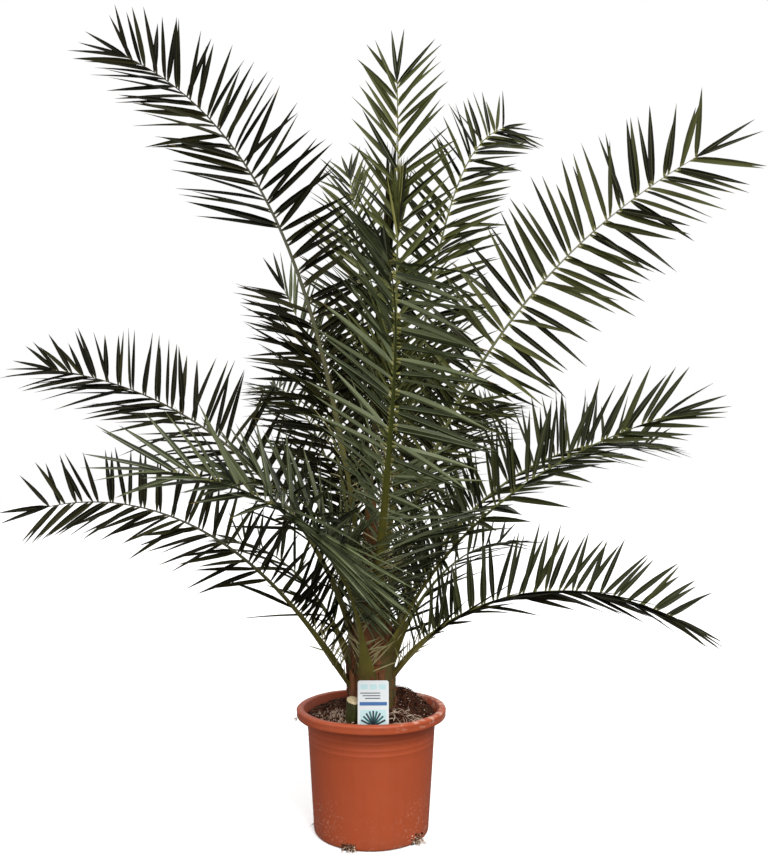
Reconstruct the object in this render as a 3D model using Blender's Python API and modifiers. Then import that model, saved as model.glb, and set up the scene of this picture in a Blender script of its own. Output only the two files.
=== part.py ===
"""A young canary island date palm in a round nursery pot.

Metres, +Z up.  The origin is the middle of the pot's flat underside.
A short trunk stands in the soil.  Every frond is one solid: a tapering rib
that follows a bending line, with folded leaflets on both sides of it.
"""

import math
import random
from dataclasses import dataclass

import bmesh
import bpy
from mathutils import Vector
from mathutils.bvhtree import BVHTree

# ---------------------------------------------------------------- sizes, pot
POT_HEIGHT = 0.208
RIM_RADIUS = 0.130
MOUTH_RADIUS = 0.1175
LIP_HEIGHT = 0.016
LIP_FOOT = POT_HEIGHT - LIP_HEIGHT
LIP_EDGE = 0.0025                 # bevel of the lip's outer edges
LIP_DRAFT = 0.0010                # the lip narrows downward by this much
MOUTH_EDGE = 0.0012               # height of the bevel round the mouth
MOUTH_BEVEL = 0.0020              # width of the bevel round the mouth
MOUTH_DRAFT = 0.0015              # the mouth narrows downward by this much
SHOULDER_LOW = LIP_FOOT - 0.002   # inner side: the wall widens from here
SHOULDER_HIGH = LIP_FOOT + 0.006  # ... to here, inside the lip
FILLET_WIDTH = 0.0005             # under the lip, where it meets the body
FILLET_HEIGHT = 0.006
BODY_TOP_RADIUS = 0.1115
BODY_FOOT_RADIUS = 0.0985
FOOT_ROUND = 0.004
FOOT_ROUND_MIDDLE = 0.3           # share of the rounding at its middle point
WALL = 0.0022
FLOOR = 0.004
POT_SIDES = 40
NOTCH_COUNT = 5
NOTCH_WIDTH = 0.018
NOTCH_HEIGHT = 0.009
NOTCH_DEPTH = 0.010
NOTCH_TURN = 29.0                 # degrees, so that one notch faces front left

# --------------------------------------------------------------- sizes, soil
GAP = 0.0003                      # clearance between neighbouring solids
MERGE = 0.00002                   # points nearer than this become one
SOIL_EDGE_HEIGHT = 0.1925
SOIL_CROWN_HEIGHT = 0.2160
SOIL_LUMP = 0.0022
SOIL_BANK = 0.024                 # height of the bank behind the trunk
SOIL_BANK_SPREAD = 0.036
SOIL_BANK_PLACE = (0.058, 0.046)
SOIL_MOUND_POWER = 0.8
SOIL_RINGS = 8
SHARP_SOIL = 60.0                 # degrees, edges sharper than this stay sharp
SHARP_PARTS = 35.0

# -------------------------------------------------------------- sizes, trunk
TRUNK_FOOT = 0.200                # flat cut, sunk in a recess in the soil
TRUNK_SIDES = 26
# height, radius: a swollen foot that narrows to the wrapped young leaf bases
TRUNK_PROFILE = (
    (0.580, 0.0060), (0.555, 0.0105), (0.500, 0.0150), (0.450, 0.0195),
    (0.400, 0.0255), (0.350, 0.0330), (0.300, 0.0390), (0.255, 0.0425),
    (0.225, 0.0440), (TRUNK_FOOT, 0.0440),
)
SPEAR_LENGTH = 0.66
SPEAR_LEAN = (0.044, 0.032)       # how far the spear's tip lies off the axis
SPEAR_THICK = 0.0085
SPEAR_TIP_RADIUS = 0.0012
SPEAR_FULL_FOOT = 0.12            # how full the spear's foot is
SPEAR_POINTS = 9
SPEAR_CURVE = 1.4

# ------------------------------------------------- sizes, label and cut stub
LABEL_WIDTH = 0.051
LABEL_HEIGHT = 0.096
LABEL_THICK = 0.0012
LABEL_PLACE = (0.0030, -0.0915)
LABEL_TOP = 0.2715
LABEL_LEAN = 3.0                  # degrees, back towards the trunk
LABEL_CORNER = 0.004
LABEL_CORNER_STEPS = 4
STUB_PLACE = (-0.0300, -0.0800)
STUB_TOP = 0.2400
STUB_FOOT = 0.1960
STUB_RADII = (0.0135, 0.0085)     # foot, top
STUB_SIDES = 14
STUB_LEAN = 12.0                  # degrees, towards the rim
STUB_CUT = 35.0                   # degrees, slope of the cut face

# ------------------------------------------------------------ sizes, fronds
RIB_POINTS = 15
RIB_TIP_RADIUS = 0.0012
RIB_MID_RADIUS = 0.0058
RIB_FLARE = 0.0045                # how much thicker the rib is at its foot
RIB_FLARE_POWER = 9
RIB_WEDGE = 0.050                 # length over which the foot thins to a wedge
RIB_WEDGE_END = 0.30              # share of the radius left at the very foot
LEAF_SPACING = 0.0385             # between pairs, along the rib
LEAF_WIDTH = 0.125                # this and the next three: shares of its length
LEAF_WIDEST = 0.30
LEAF_THICK = 0.0135
LEAF_FOLD = 0.028
LEAF_SHORTEST = 0.032
LEAF_SIDES_AT = (0.25, 0.60)      # left and right leaflet, shares of a spacing
BLADE_END = 0.985                 # the last pair stands this far along the blade
FOOT_SHORT = 0.30                 # length of the first leaflets, and the share
GROWN_AT = 0.30                   # of the blade at which they are full-grown
TIP_SHORT = 0.30                  # how much shorter the last leaflets are
TIP_SHORT_POWER = 2.4
FORE_FOOT = 6.0                   # degrees added to fore at the blade's foot
LIFT_TIP = 0.3                    # share of the lift that is gone at the tip
JITTER_FORE = 4.0                 # degrees
JITTER_LIFT = 7.0                 # degrees
JITTER_LENGTH = 0.06
TIP_LEAF = (0.99, 1.05, 4.0, 5.0) # place on the rib, length, fore, lift
TIP_LEAF_SINK = 0.004
SINK = 0.8                        # share of the rib's radius behind its middle
SEED = 20


@dataclass(frozen=True)
class Frond:
    """One frond: the line of its rib, and how its leaflets stand.

    Angles are degrees.  heading 0 is +X and 270 is the front.  roll turns the
    blade about its rib: at 0 its upper face looks up, and at 90 it stands on
    edge with its left side uppermost.  fore is a leaflet's angle to the rib
    at the middle of the blade, on the left and the right side, and lift is
    how far both sides are folded up.  bare_side, 1 for the left and -1 for
    the right, bears no leaflets between two shares of the rib.  close is how
    far the leaflets close towards the tip.
    """

    name: str
    heading: float
    swing: float
    seat_height: float
    seat_radius: float
    length: float
    rise: float
    tip_rise: float
    bend: float
    roll: float
    tip_roll: float
    petiole: float
    leaf: float
    fore_left: float
    fore_right: float
    lift: float
    bare_side: int = 0
    bare_from: float = 0.0
    bare_to: float = 0.0
    close: float = 34.0


FRONDS = (
    #      name        head swing seat_z seat_r length rise tip bend
    #                  roll tip_roll petiole leaf fore_l fore_r lift
    Frond("frond_01", 170, 0, 0.43, 0.014, 1.155, 80.5, 26, 2.3,
          -65, -80, 0.26, 0.165, 62, 74, 15, bare_side=1, bare_from=0.43, bare_to=0.56),
    Frond("frond_02", 140, 0, 0.36, 0.030, 0.665, 83, 57, 1.4,
          -50, -60, 0.30, 0.145, 70, 55, 15),
    Frond("frond_03", -14, 0, 0.46, 0.018, 0.885, 84, 91, 0.7,
          82, 90, 0.30, 0.150, 44, 60, 15),
    Frond("frond_04", 286, -24, 0.35, 0.026, 0.770, 80, 6, 1.2,
          -25, -35, 0.25, 0.165, 94, 66, 10),
    Frond("frond_05", 40, 0, 0.42, 0.020, 1.030, 77, 20, 6.0,
          45, 60, 0.30, 0.135, 62, 60, 18, close=8.0),
    Frond("frond_06", -14, 0, 0.37, 0.026, 0.985, 78, 27, 1.2,
          70, 80, 0.30, 0.165, 78, 88, 15),
    Frond("frond_07", -38, 22, 0.30, 0.036, 0.645, 66, 16, 0.9,
          40, 60, 0.20, 0.140, 66, 56, 25),
    Frond("frond_08", 30, 0, 0.30, 0.036, 0.850, 70, -6, 0.85,
          35, 45, 0.28, 0.150, 68, 56, 35),
    Frond("frond_09", -8, 0, 0.255, 0.034, 0.550, 57, -28.5, 0.92,
          35, 40, 0.16, 0.130, 76, 38, 35, close=8.0),
    Frond("frond_10", 166, 0, 0.33, 0.036, 0.840, 74, 7, 0.87,
          -50, -50, 0.26, 0.155, 58, 68, 22),
    Frond("frond_11", 256, -52, 0.26, 0.036, 0.585, 79, 6, 0.87,
          -35, -45, 0.18, 0.170, 55, 66, 28),
    Frond("frond_12", 192, 0, 0.240, 0.034, 0.648, 56, -15, 1.85,
          -60, -70, 0.16, 0.116, 52, 78, 15, bare_side=1, bare_from=0.10, bare_to=0.32,
          close=12.0),
    Frond("frond_13", 84, 0, 0.255, 0.036, 0.600, 60, -30, 1.0,
          0, -20, 0.17, 0.140, 60, 60, 30),
    Frond("frond_14", 112, 0, 0.33, 0.036, 0.850, 72, 10, 0.9,
          -10, -30, 0.26, 0.155, 60, 60, 25),
    Frond("frond_15", 62, 0, 0.32, 0.036, 0.840, 70, 6, 0.9,
          10, 30, 0.26, 0.155, 60, 60, 25),
    Frond("frond_16", 100, 0, 0.47, 0.018, 0.850, 82, 50, 2.0,
          0, -20, 0.30, 0.160, 52, 52, 20),
    Frond("frond_17", 138, 0, 0.245, 0.036, 0.440, 66, 2, 1.0,
          -20, -35, 0.17, 0.130, 60, 60, 40),
    Frond("frond_18", 46, 0, 0.250, 0.036, 0.470, 64, -4, 1.0,
          20, 35, 0.17, 0.125, 60, 60, 40),
    Frond("frond_19", 230, 0, 0.35, 0.028, 0.430, 80, -6, 1.1,
          -30, -40, 0.26, 0.140, 60, 66, 25),
)

# ------------------------------------------------------------------ colours
TERRACOTTA = (0.420, 0.095, 0.040, 1.0)
SOIL_BROWN = (0.045, 0.024, 0.015, 1.0)
BARK_BROWN = (0.150, 0.060, 0.028, 1.0)
LEAF_GREEN = (0.055, 0.095, 0.045, 1.0)
SPEAR_GREEN = (0.160, 0.170, 0.070, 1.0)
LABEL_WHITE = (0.780, 0.820, 0.830, 1.0)
STUB_GREEN = (0.110, 0.120, 0.040, 1.0)


# ------------------------------------------------------------------- scene
def clear_scene():
    for item in list(bpy.data.objects):
        bpy.data.objects.remove(item, do_unlink=True)


def new_collection(name):
    collection = bpy.data.collections.new(name)
    bpy.context.scene.collection.children.link(collection)
    return collection


def new_material(name, colour, roughness):
    material = bpy.data.materials.new(name)
    material.use_nodes = True
    shader = material.node_tree.nodes["Principled BSDF"]
    shader.inputs["Base Color"].default_value = colour
    shader.inputs["Roughness"].default_value = roughness
    shader.inputs["Metallic"].default_value = 0.0
    material.diffuse_color = colour
    return material


def new_object(name, data, collection, material=None):
    item = bpy.data.objects.new(name, data)
    collection.objects.link(item)
    if material is not None:
        data.materials.clear()
        data.materials.append(material)
    return item


def mesh_from(bm, name):
    mesh = bpy.data.meshes.new(name)
    bm.to_mesh(mesh)
    bm.free()
    return mesh


def applied(item):
    """Replace an object's mesh by its evaluated mesh, without modifiers."""
    graph = bpy.context.evaluated_depsgraph_get()
    mesh = bpy.data.meshes.new_from_object(item.evaluated_get(graph))
    item.modifiers.clear()
    old = item.data
    item.data = mesh
    bpy.data.meshes.remove(old)
    return item


def smooth(item, angle=SHARP_PARTS):
    item.data.shade_smooth()
    item.data.set_sharp_from_angle(angle=math.radians(angle))


def boolean(item, other, operation, solver="EXACT"):
    modifier = item.modifiers.new(operation.lower(), "BOOLEAN")
    modifier.operation = operation
    modifier.solver = solver
    modifier.object = other
    return applied(item)


def as_cutter(item):
    item.hide_render = True
    item.display_type = "WIRE"
    return item


def turned(name, profile, sides, collection, material=None):
    """Turn a profile of (radius, height) points, outer side top to bottom."""
    mesh = bpy.data.meshes.new(name)
    points = [(radius, 0.0, height) for radius, height in profile]
    edges = [(i, i + 1) for i in range(len(points) - 1)]
    mesh.from_pydata(points, edges, [])
    item = new_object(name, mesh, collection, material)
    screw = item.modifiers.new("turn", "SCREW")
    screw.steps = sides
    screw.render_steps = sides
    screw.use_merge_vertices = True
    screw.merge_threshold = MERGE
    return applied(item)


# --------------------------------------------------------------------- pot
def body_radius(height):
    share = height / LIP_FOOT
    return BODY_FOOT_RADIUS + (BODY_TOP_RADIUS - BODY_FOOT_RADIUS) * share


def inner_side():
    """The pot's inner side from the floor up into the lip: (radius, height)."""
    return [
        (body_radius(FLOOR) - WALL, FLOOR),
        (body_radius(LIP_FOOT) - WALL, SHOULDER_LOW),
        (MOUTH_RADIUS - MOUTH_DRAFT, SHOULDER_HIGH),
    ]


def pot_profile():
    mouth = (MOUTH_RADIUS, POT_HEIGHT - MOUTH_EDGE)
    outside = [
        mouth,
        (MOUTH_RADIUS + MOUTH_BEVEL, POT_HEIGHT),
        (RIM_RADIUS - LIP_EDGE, POT_HEIGHT),
        (RIM_RADIUS, POT_HEIGHT - LIP_EDGE),
        (RIM_RADIUS - LIP_DRAFT, LIP_FOOT + LIP_DRAFT),
        (RIM_RADIUS - LIP_EDGE, LIP_FOOT),
        (body_radius(LIP_FOOT) + FILLET_WIDTH, LIP_FOOT),
        (body_radius(LIP_FOOT - FILLET_HEIGHT), LIP_FOOT - FILLET_HEIGHT),
        (body_radius(FOOT_ROUND), FOOT_ROUND),
        (BODY_FOOT_RADIUS - FOOT_ROUND * FOOT_ROUND_MIDDLE, FOOT_ROUND * FOOT_ROUND_MIDDLE),
        (BODY_FOOT_RADIUS - FOOT_ROUND, 0.0),
        (0.0, 0.0),
    ]
    return outside + [(0.0, FLOOR)] + inner_side() + [mouth]


def build_pot(parts, cutters):
    clay = new_material("pot", TERRACOTTA, 0.55)
    pot = turned("pot", pot_profile(), POT_SIDES, parts, clay)
    for i in range(NOTCH_COUNT):
        angle = math.radians(NOTCH_TURN + 360.0 * i / NOTCH_COUNT)
        bm = bmesh.new()
        bmesh.ops.create_cube(bm, size=1.0)
        notch = new_object(f"notch_{i}", mesh_from(bm, f"notch_{i}"), cutters)
        as_cutter(notch)
        notch.scale = (NOTCH_DEPTH, NOTCH_WIDTH, NOTCH_HEIGHT * 2)
        reach = BODY_FOOT_RADIUS
        notch.location = (reach * math.cos(angle), reach * math.sin(angle), 0)
        notch.rotation_euler = (0, 0, angle)
        bpy.context.view_layer.update()
        boolean(pot, notch, "DIFFERENCE")
    smooth(pot)
    return pot


# -------------------------------------------------------------------- soil
def soil_height(x, y):
    """Height of the soil: a low mound, small lumps and a bank at the back."""
    share = min(1.0, math.hypot(x, y) / MOUTH_RADIUS)
    mound = (1.0 - share) ** SOIL_MOUND_POWER
    height = SOIL_EDGE_HEIGHT + (SOIL_CROWN_HEIGHT - SOIL_EDGE_HEIGHT) * mound
    lumps = math.sin(61 * x + 2.0) * math.cos(53 * y) + 0.6 * math.sin(97 * (x + y))
    height += SOIL_LUMP * lumps * (1.0 - share ** 6)
    away = math.hypot(x - SOIL_BANK_PLACE[0], y - SOIL_BANK_PLACE[1])
    height += SOIL_BANK * math.exp(-(away / SOIL_BANK_SPREAD) ** 2)
    return height


def build_soil(parts):
    dark = new_material("soil", SOIL_BROWN, 0.95)
    foot, shoulder, lip = [(radius - GAP, height) for radius, height in inner_side()]
    rise = (SOIL_EDGE_HEIGHT - SHOULDER_LOW) / (SHOULDER_HIGH - SHOULDER_LOW)
    edge = shoulder[0] + (lip[0] - shoulder[0]) * rise
    profile = [(edge * i / SOIL_RINGS, SOIL_EDGE_HEIGHT) for i in range(SOIL_RINGS + 1)]
    profile += [
        (shoulder[0], SHOULDER_LOW + GAP),
        (foot[0], FLOOR + GAP),
        (0.0, FLOOR + GAP),
    ]
    soil = turned("soil", profile, POT_SIDES, parts, dark)
    last_ring = edge * (SOIL_RINGS - 0.5) / SOIL_RINGS
    for vertex in soil.data.vertices:
        x, y, z = vertex.co
        if z > SOIL_EDGE_HEIGHT - GAP and math.hypot(x, y) < last_ring:
            vertex.co.z = soil_height(x, y)
    return soil


# ------------------------------------------------------------------- trunk
def trunk_profile(grow=0.0):
    points = [(0.0, TRUNK_PROFILE[0][0] + grow)]
    points += [(radius + grow, height) for height, radius in TRUNK_PROFILE]
    points[-1] = (points[-1][0], TRUNK_FOOT - grow)
    points.append((0.0, TRUNK_FOOT - grow))
    return points


def build_trunk(parts, cutters):
    bark = new_material("trunk", BARK_BROWN, 0.9)
    trunk = turned("trunk", trunk_profile(), TRUNK_SIDES, parts, bark)
    smooth(trunk)
    clear = turned("trunk_space", trunk_profile(GAP), TRUNK_SIDES, cutters)
    as_cutter(clear)
    return trunk, clear


# ----------------------------------------------------- label and cut stub
def label_solid(name, grow, collection, material=None):
    bm = bmesh.new()
    bmesh.ops.create_cube(bm, size=1.0)
    size = (LABEL_WIDTH + 2 * grow, LABEL_THICK + 2 * grow, LABEL_HEIGHT + 2 * grow)
    bmesh.ops.scale(bm, vec=size, verts=bm.verts)
    upright = [e for e in bm.edges if abs(e.verts[0].co.y - e.verts[1].co.y) > size[1] / 2]
    bmesh.ops.bevel(bm, geom=upright, offset=LABEL_CORNER,
                    segments=LABEL_CORNER_STEPS, affect="EDGES", profile=0.5)
    bmesh.ops.translate(bm, vec=(0, 0, -LABEL_HEIGHT / 2), verts=bm.verts)
    item = new_object(name, mesh_from(bm, name), collection, material)
    item.location = (*LABEL_PLACE, LABEL_TOP)
    item.rotation_euler = (math.radians(-LABEL_LEAN), 0, 0)
    return item


def stub_solid(name, grow, collection, material=None):
    bm = bmesh.new()
    height = STUB_TOP - STUB_FOOT
    bmesh.ops.create_cone(bm, cap_ends=True, segments=STUB_SIDES,
                          depth=height + 2 * grow,
                          radius1=STUB_RADII[0] + grow, radius2=STUB_RADII[1] + grow)
    slope = math.tan(math.radians(STUB_CUT))
    for vert in bm.verts:
        if vert.co.z > 0:
            vert.co.z += slope * vert.co.x
    item = new_object(name, mesh_from(bm, name), collection, material)
    item.location = (*STUB_PLACE, (STUB_TOP + STUB_FOOT) / 2)
    item.rotation_euler = (math.radians(STUB_LEAN), 0, 0)
    return item


def build_label_and_stub(parts, cutters, soil):
    card = new_material("label", LABEL_WHITE, 0.35)
    green = new_material("cut_stub", STUB_GREEN, 0.6)
    label = label_solid("label", 0.0, parts, card)
    stub = stub_solid("cut_stub", 0.0, parts, green)
    smooth(stub)
    for cutter in (
        label_solid("label_slot", GAP, cutters),
        stub_solid("stub_hole", GAP, cutters),
    ):
        as_cutter(cutter)
        bpy.context.view_layer.update()
        boolean(soil, cutter, "DIFFERENCE")
    return label, stub


# ------------------------------------------------------------------ fronds
class Rib:
    """The line of a frond's rib, with the blade's frame at each place."""

    STEPS = 90

    def __init__(self, frond):
        self.frond = frond
        heading = math.radians(frond.heading)
        place = Vector((frond.seat_radius * math.cos(heading),
                        frond.seat_radius * math.sin(heading),
                        frond.seat_height))
        self.places = [place.copy()]
        step = frond.length / self.STEPS
        for i in range(self.STEPS):
            place = place + self.direction((i + 0.5) / self.STEPS) * step
            self.places.append(place.copy())

    def direction(self, share):
        frond = self.frond
        rise = frond.rise + (frond.tip_rise - frond.rise) * share ** frond.bend
        rise = math.radians(rise)
        heading = math.radians(frond.heading + frond.swing * share)
        return Vector((math.cos(rise) * math.cos(heading),
                       math.cos(rise) * math.sin(heading),
                       math.sin(rise)))

    def place(self, share):
        at = min(max(share, 0.0), 1.0) * self.STEPS
        low = min(int(at), self.STEPS - 1)
        return self.places[low].lerp(self.places[low + 1], at - low)

    def radius(self, share):
        """Thin at the tip, flared below, and drawn out to a wedge at the foot."""
        left = 1.0 - share
        radius = RIB_TIP_RADIUS + (RIB_MID_RADIUS - RIB_TIP_RADIUS) * left
        radius += RIB_FLARE * left ** RIB_FLARE_POWER
        wedge = min(1.0, share * self.frond.length / RIB_WEDGE)
        return radius * (RIB_WEDGE_END + (1.0 - RIB_WEDGE_END) * wedge)

    def frame(self, share):
        """Along the rib, out to the left side, and up out of the blade."""
        frond = self.frond
        along = self.direction(share)
        heading = math.radians(frond.heading + frond.swing * share)
        level = Vector((-math.sin(heading), math.cos(heading), 0.0))
        up = along.cross(level)
        roll = math.radians(frond.roll + (frond.tip_roll - frond.roll) * share)
        left = level * math.cos(roll) + up * math.sin(roll)
        up = up * math.cos(roll) - level * math.sin(roll)
        return along, left, up


def tube(name, line, resolution, parts, material):
    """A closed tube along a line of (place, radius)."""
    curve = bpy.data.curves.new(name, "CURVE")
    curve.dimensions = "3D"
    curve.bevel_depth = 1.0
    curve.bevel_resolution = resolution
    curve.use_fill_caps = True
    spline = curve.splines.new("POLY")
    spline.points.add(len(line) - 1)
    for point, (place, radius) in zip(spline.points, line):
        point.co = (*place, 1.0)
        point.radius = radius
    guide = bpy.data.objects.new(name + "_line", curve)
    parts.objects.link(guide)
    graph = bpy.context.evaluated_depsgraph_get()
    mesh = bpy.data.meshes.new_from_object(guide.evaluated_get(graph))
    bpy.data.objects.remove(guide, do_unlink=True)
    bm = bmesh.new()
    bm.from_mesh(mesh)
    bmesh.ops.remove_doubles(bm, verts=bm.verts, dist=MERGE)
    bmesh.ops.recalc_face_normals(bm, faces=bm.faces)
    bm.to_mesh(mesh)
    bm.free()
    return new_object(name, mesh, parts, material)


def rib_shares(frond):
    """Places along the rib: the wedge's middle and end, then even steps."""
    wedge = RIB_WEDGE / frond.length
    steps = RIB_POINTS - 3
    rest = [wedge + (1.0 - wedge) * i / steps for i in range(steps + 1)]
    return [0.0, wedge / 2] + rest


def rib_object(rib, parts, material):
    line = [(rib.place(share), rib.radius(share)) for share in rib_shares(rib.frond)]
    return tube(rib.frond.name, line, 0, parts, material)


@dataclass
class Leaf:
    """One leaflet: where its root is, how long it is and how it stands."""

    root: Vector
    along: Vector
    left: Vector
    up: Vector
    side: int
    length: float
    fore: float
    lift: float
    sink: float

    def points(self, grow=0.0):
        fore = math.radians(self.fore)
        lift = math.radians(self.lift)
        out = self.left * (self.side * math.cos(lift)) + self.up * math.sin(lift)
        way = (self.along * math.cos(fore) + out * math.sin(fore)).normalized()
        across = (self.along - way * self.along.dot(way)).normalized()
        face = across.cross(way) * self.side
        if face.dot(self.up) < 0:
            face.negate()
        middle = self.root + way * (self.length * LEAF_WIDEST)
        half = self.length * LEAF_WIDTH / 2 + grow
        thick = self.length * LEAF_THICK / 2 + grow
        fold = self.length * LEAF_FOLD
        return {
            "root": self.root - way * self.sink,
            "tip": self.root + way * (self.length + grow),
            "fore": middle + across * half + face * fold,
            "back": middle - across * half + face * fold,
            "keel": middle - face * thick,
            "ridge": middle + face * thick,
        }


def leaf_mesh(leaf, name="leaf", grow=0.0):
    """An eight-faced ball drawn out into a folded leaflet."""
    points = leaf.points(grow)
    bm = bmesh.new()
    bmesh.ops.create_uvsphere(bm, u_segments=4, v_segments=2, radius=1.0)
    for vert in bm.verts:
        x, y, z = (round(value) for value in vert.co)
        key = {(0, 0, -1): "root", (0, 0, 1): "tip", (1, 0, 0): "fore",
               (-1, 0, 0): "back", (0, 1, 0): "ridge", (0, -1, 0): "keel"}[(x, y, z)]
        vert.co = points[key]
    if bm.calc_volume(signed=True) < 0:
        bmesh.ops.reverse_faces(bm, faces=bm.faces)
    return mesh_from(bm, name)


def leaf_length(frond, share):
    """Short and spine-like at the foot, longest near a third, short at the tip."""
    grown = min(1.0, share / GROWN_AT)
    grown = grown * grown * (3 - 2 * grown)
    grown = FOOT_SHORT + (1.0 - FOOT_SHORT) * grown
    return frond.leaf * grown * (1.0 - TIP_SHORT * share ** TIP_SHORT_POWER)


def leaves_of(rib, rng):
    """Every leaflet of a frond, by one rule from its foot to its tip."""
    frond = rib.frond
    blade = frond.length * (1.0 - frond.petiole)
    pairs = round(blade / LEAF_SPACING)
    sides = ((1, frond.fore_left, LEAF_SIDES_AT[0]), (-1, frond.fore_right, LEAF_SIDES_AT[1]))
    for i in range(pairs):
        for side, middle, offset in sides:
            share = (i + offset) / pairs
            at = frond.petiole + (1.0 - frond.petiole) * share * BLADE_END
            if side == frond.bare_side and frond.bare_from < at < frond.bare_to:
                continue
            along, left, up = rib.frame(at)
            fore = middle + FORE_FOOT * (1.0 - share) ** 3 - frond.close * share ** 2.5
            lift = frond.lift * (1.0 - LIFT_TIP * share)
            lift += rng.uniform(-JITTER_LIFT, JITTER_LIFT)
            length = leaf_length(frond, share)
            length *= 1.0 + rng.uniform(-JITTER_LENGTH, JITTER_LENGTH)
            fore += rng.uniform(-JITTER_FORE, JITTER_FORE)
            yield Leaf(rib.place(at), along, left, up, side, length, fore, lift,
                       rib.radius(at) * SINK)
    at, longer, fore, lift = TIP_LEAF
    length = leaf_length(frond, 1.0) * longer
    yield Leaf(rib.place(at), *rib.frame(1.0), 1, length, fore, lift, TIP_LEAF_SINK)


# turns and shortenings that are tried in this order: fore, lift, length
TRIES = (
    (0, 0, 1.0), (0, 9, 1.0), (0, -9, 1.0), (8, 0, 1.0), (-8, 0, 1.0),
    (8, 12, 1.0), (-8, 12, 1.0), (8, -12, 1.0), (-8, -12, 1.0), (0, 20, 1.0),
    (0, -20, 1.0), (-14, 6, 1.0), (14, 6, 1.0), (0, 30, 1.0), (0, 0, 0.82),
    (0, 12, 0.82), (0, -12, 0.82), (0, 0, 0.65), (0, 15, 0.65), (0, -15, 0.65),
)
CLEAR = 0.0007                    # how much a leaflet is grown for the test


class Space:
    """What already stands in the crown, for keeping leaflets apart."""

    def __init__(self):
        self.taken = []

    def add(self, owner, mesh, matrix=None):
        points = [(matrix @ v.co) if matrix else v.co.copy() for v in mesh.vertices]
        faces = [tuple(p.vertices) for p in mesh.polygons]
        tree = BVHTree.FromPolygons(points, faces)
        low = Vector(min(p[i] for p in points) for i in range(3))
        high = Vector(max(p[i] for p in points) for i in range(3))
        self.taken.append((owner, low, high, tree))

    def free(self, owner, mesh):
        points = [v.co.copy() for v in mesh.vertices]
        low = [min(p[i] for p in points) for i in range(3)]
        high = [max(p[i] for p in points) for i in range(3)]
        tree = None
        for other, other_low, other_high, other_tree in self.taken:
            if other == owner:
                continue
            if any(low[i] > other_high[i] or high[i] < other_low[i] for i in range(3)):
                continue
            if tree is None:
                faces = [tuple(p.vertices) for p in mesh.polygons]
                tree = BVHTree.FromPolygons(points, faces)
            if tree.overlap(other_tree):
                return False
        return True


def fitting_leaf(leaf, owner, space):
    """The leaflet, turned or shortened until it touches nothing, or None."""
    for fore, lift, scale in TRIES:
        trial = Leaf(leaf.root, leaf.along, leaf.left, leaf.up, leaf.side,
                     leaf.length * scale, leaf.fore + fore, leaf.lift + lift,
                     leaf.sink)
        if trial.length < LEAF_SHORTEST:
            continue
        mesh = leaf_mesh(trial, "trial", CLEAR)
        free = space.free(owner, mesh)
        bpy.data.meshes.remove(mesh)
        if free:
            return trial
    return None


def keep_largest(item):
    """Drop loose scraps: only the piece with the most faces stays."""
    bm = bmesh.new()
    bm.from_mesh(item.data)
    left = set(bm.faces)
    pieces = []
    while left:
        waiting = [left.pop()]
        piece = set(waiting)
        while waiting:
            face = waiting.pop()
            beside = {other for edge in face.edges for other in edge.link_faces} & left
            left -= beside
            piece |= beside
            waiting.extend(beside)
        pieces.append(piece)
    pieces.sort(key=len)
    for piece in pieces[:-1]:
        bmesh.ops.delete(bm, geom=list(piece), context="FACES")
    bm.to_mesh(item.data)
    bm.free()


def join_leaves(rib_item, leaves, name):
    """One union of the rib with all its leaflets."""
    holder = new_collection(name + "_leaves")
    for i, leaf in enumerate(leaves):
        mesh = leaf_mesh(leaf, f"{name}_leaf_{i}")
        new_object(f"{name}_leaf_{i}", mesh, holder)
    modifier = rib_item.modifiers.new("leaves", "BOOLEAN")
    modifier.operation = "UNION"
    modifier.solver = "MANIFOLD"
    modifier.operand_type = "COLLECTION"
    modifier.collection = holder
    bpy.context.view_layer.update()
    applied(rib_item)
    keep_largest(rib_item)
    for item in list(holder.objects):
        mesh = item.data
        bpy.data.objects.remove(item, do_unlink=True)
        bpy.data.meshes.remove(mesh)
    bpy.data.collections.remove(holder)


def build_fronds(parts, solids, trunk_space):
    green = new_material("fronds", LEAF_GREEN, 0.45)
    space = Space()
    for solid in solids:
        space.add(solid.name, solid.data, solid.matrix_world)
    ribs = [Rib(frond) for frond in FRONDS]
    items = [rib_object(rib, parts, green) for rib in ribs]
    bpy.context.view_layer.update()
    for item in items:
        boolean(item, trunk_space, "DIFFERENCE")
        space.add(item.name, item.data)
    rng = random.Random(SEED)
    for rib, item in zip(ribs, items):
        name = rib.frond.name
        leaves = []
        skipped = 0
        for leaf in leaves_of(rib, rng):
            fitted = fitting_leaf(leaf, name, space)
            if fitted is None:
                skipped += 1
                continue
            leaves.append(fitted)
            mesh = leaf_mesh(fitted, "kept")
            space.add(name, mesh)
            bpy.data.meshes.remove(mesh)
        join_leaves(item, leaves, name)
        print(name, "leaflets", len(leaves), "left out", skipped)


def build_spear(parts):
    """The folded youngest leaf, standing on the trunk's tip."""
    olive = new_material("spear", SPEAR_GREEN, 0.55)
    foot = TRUNK_PROFILE[0][0] + 2 * GAP
    line = []
    for i in range(SPEAR_POINTS):
        share = i / (SPEAR_POINTS - 1)
        lean = share ** SPEAR_CURVE
        place = (SPEAR_LEAN[0] * lean, SPEAR_LEAN[1] * lean, foot + SPEAR_LENGTH * share)
        full = math.sin(math.pi * (SPEAR_FULL_FOOT + (1.0 - SPEAR_FULL_FOOT) * share))
        line.append((place, SPEAR_TIP_RADIUS + SPEAR_THICK * abs(full) ** 0.8))
    return tube("spear", line, 1, parts, olive)


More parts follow.
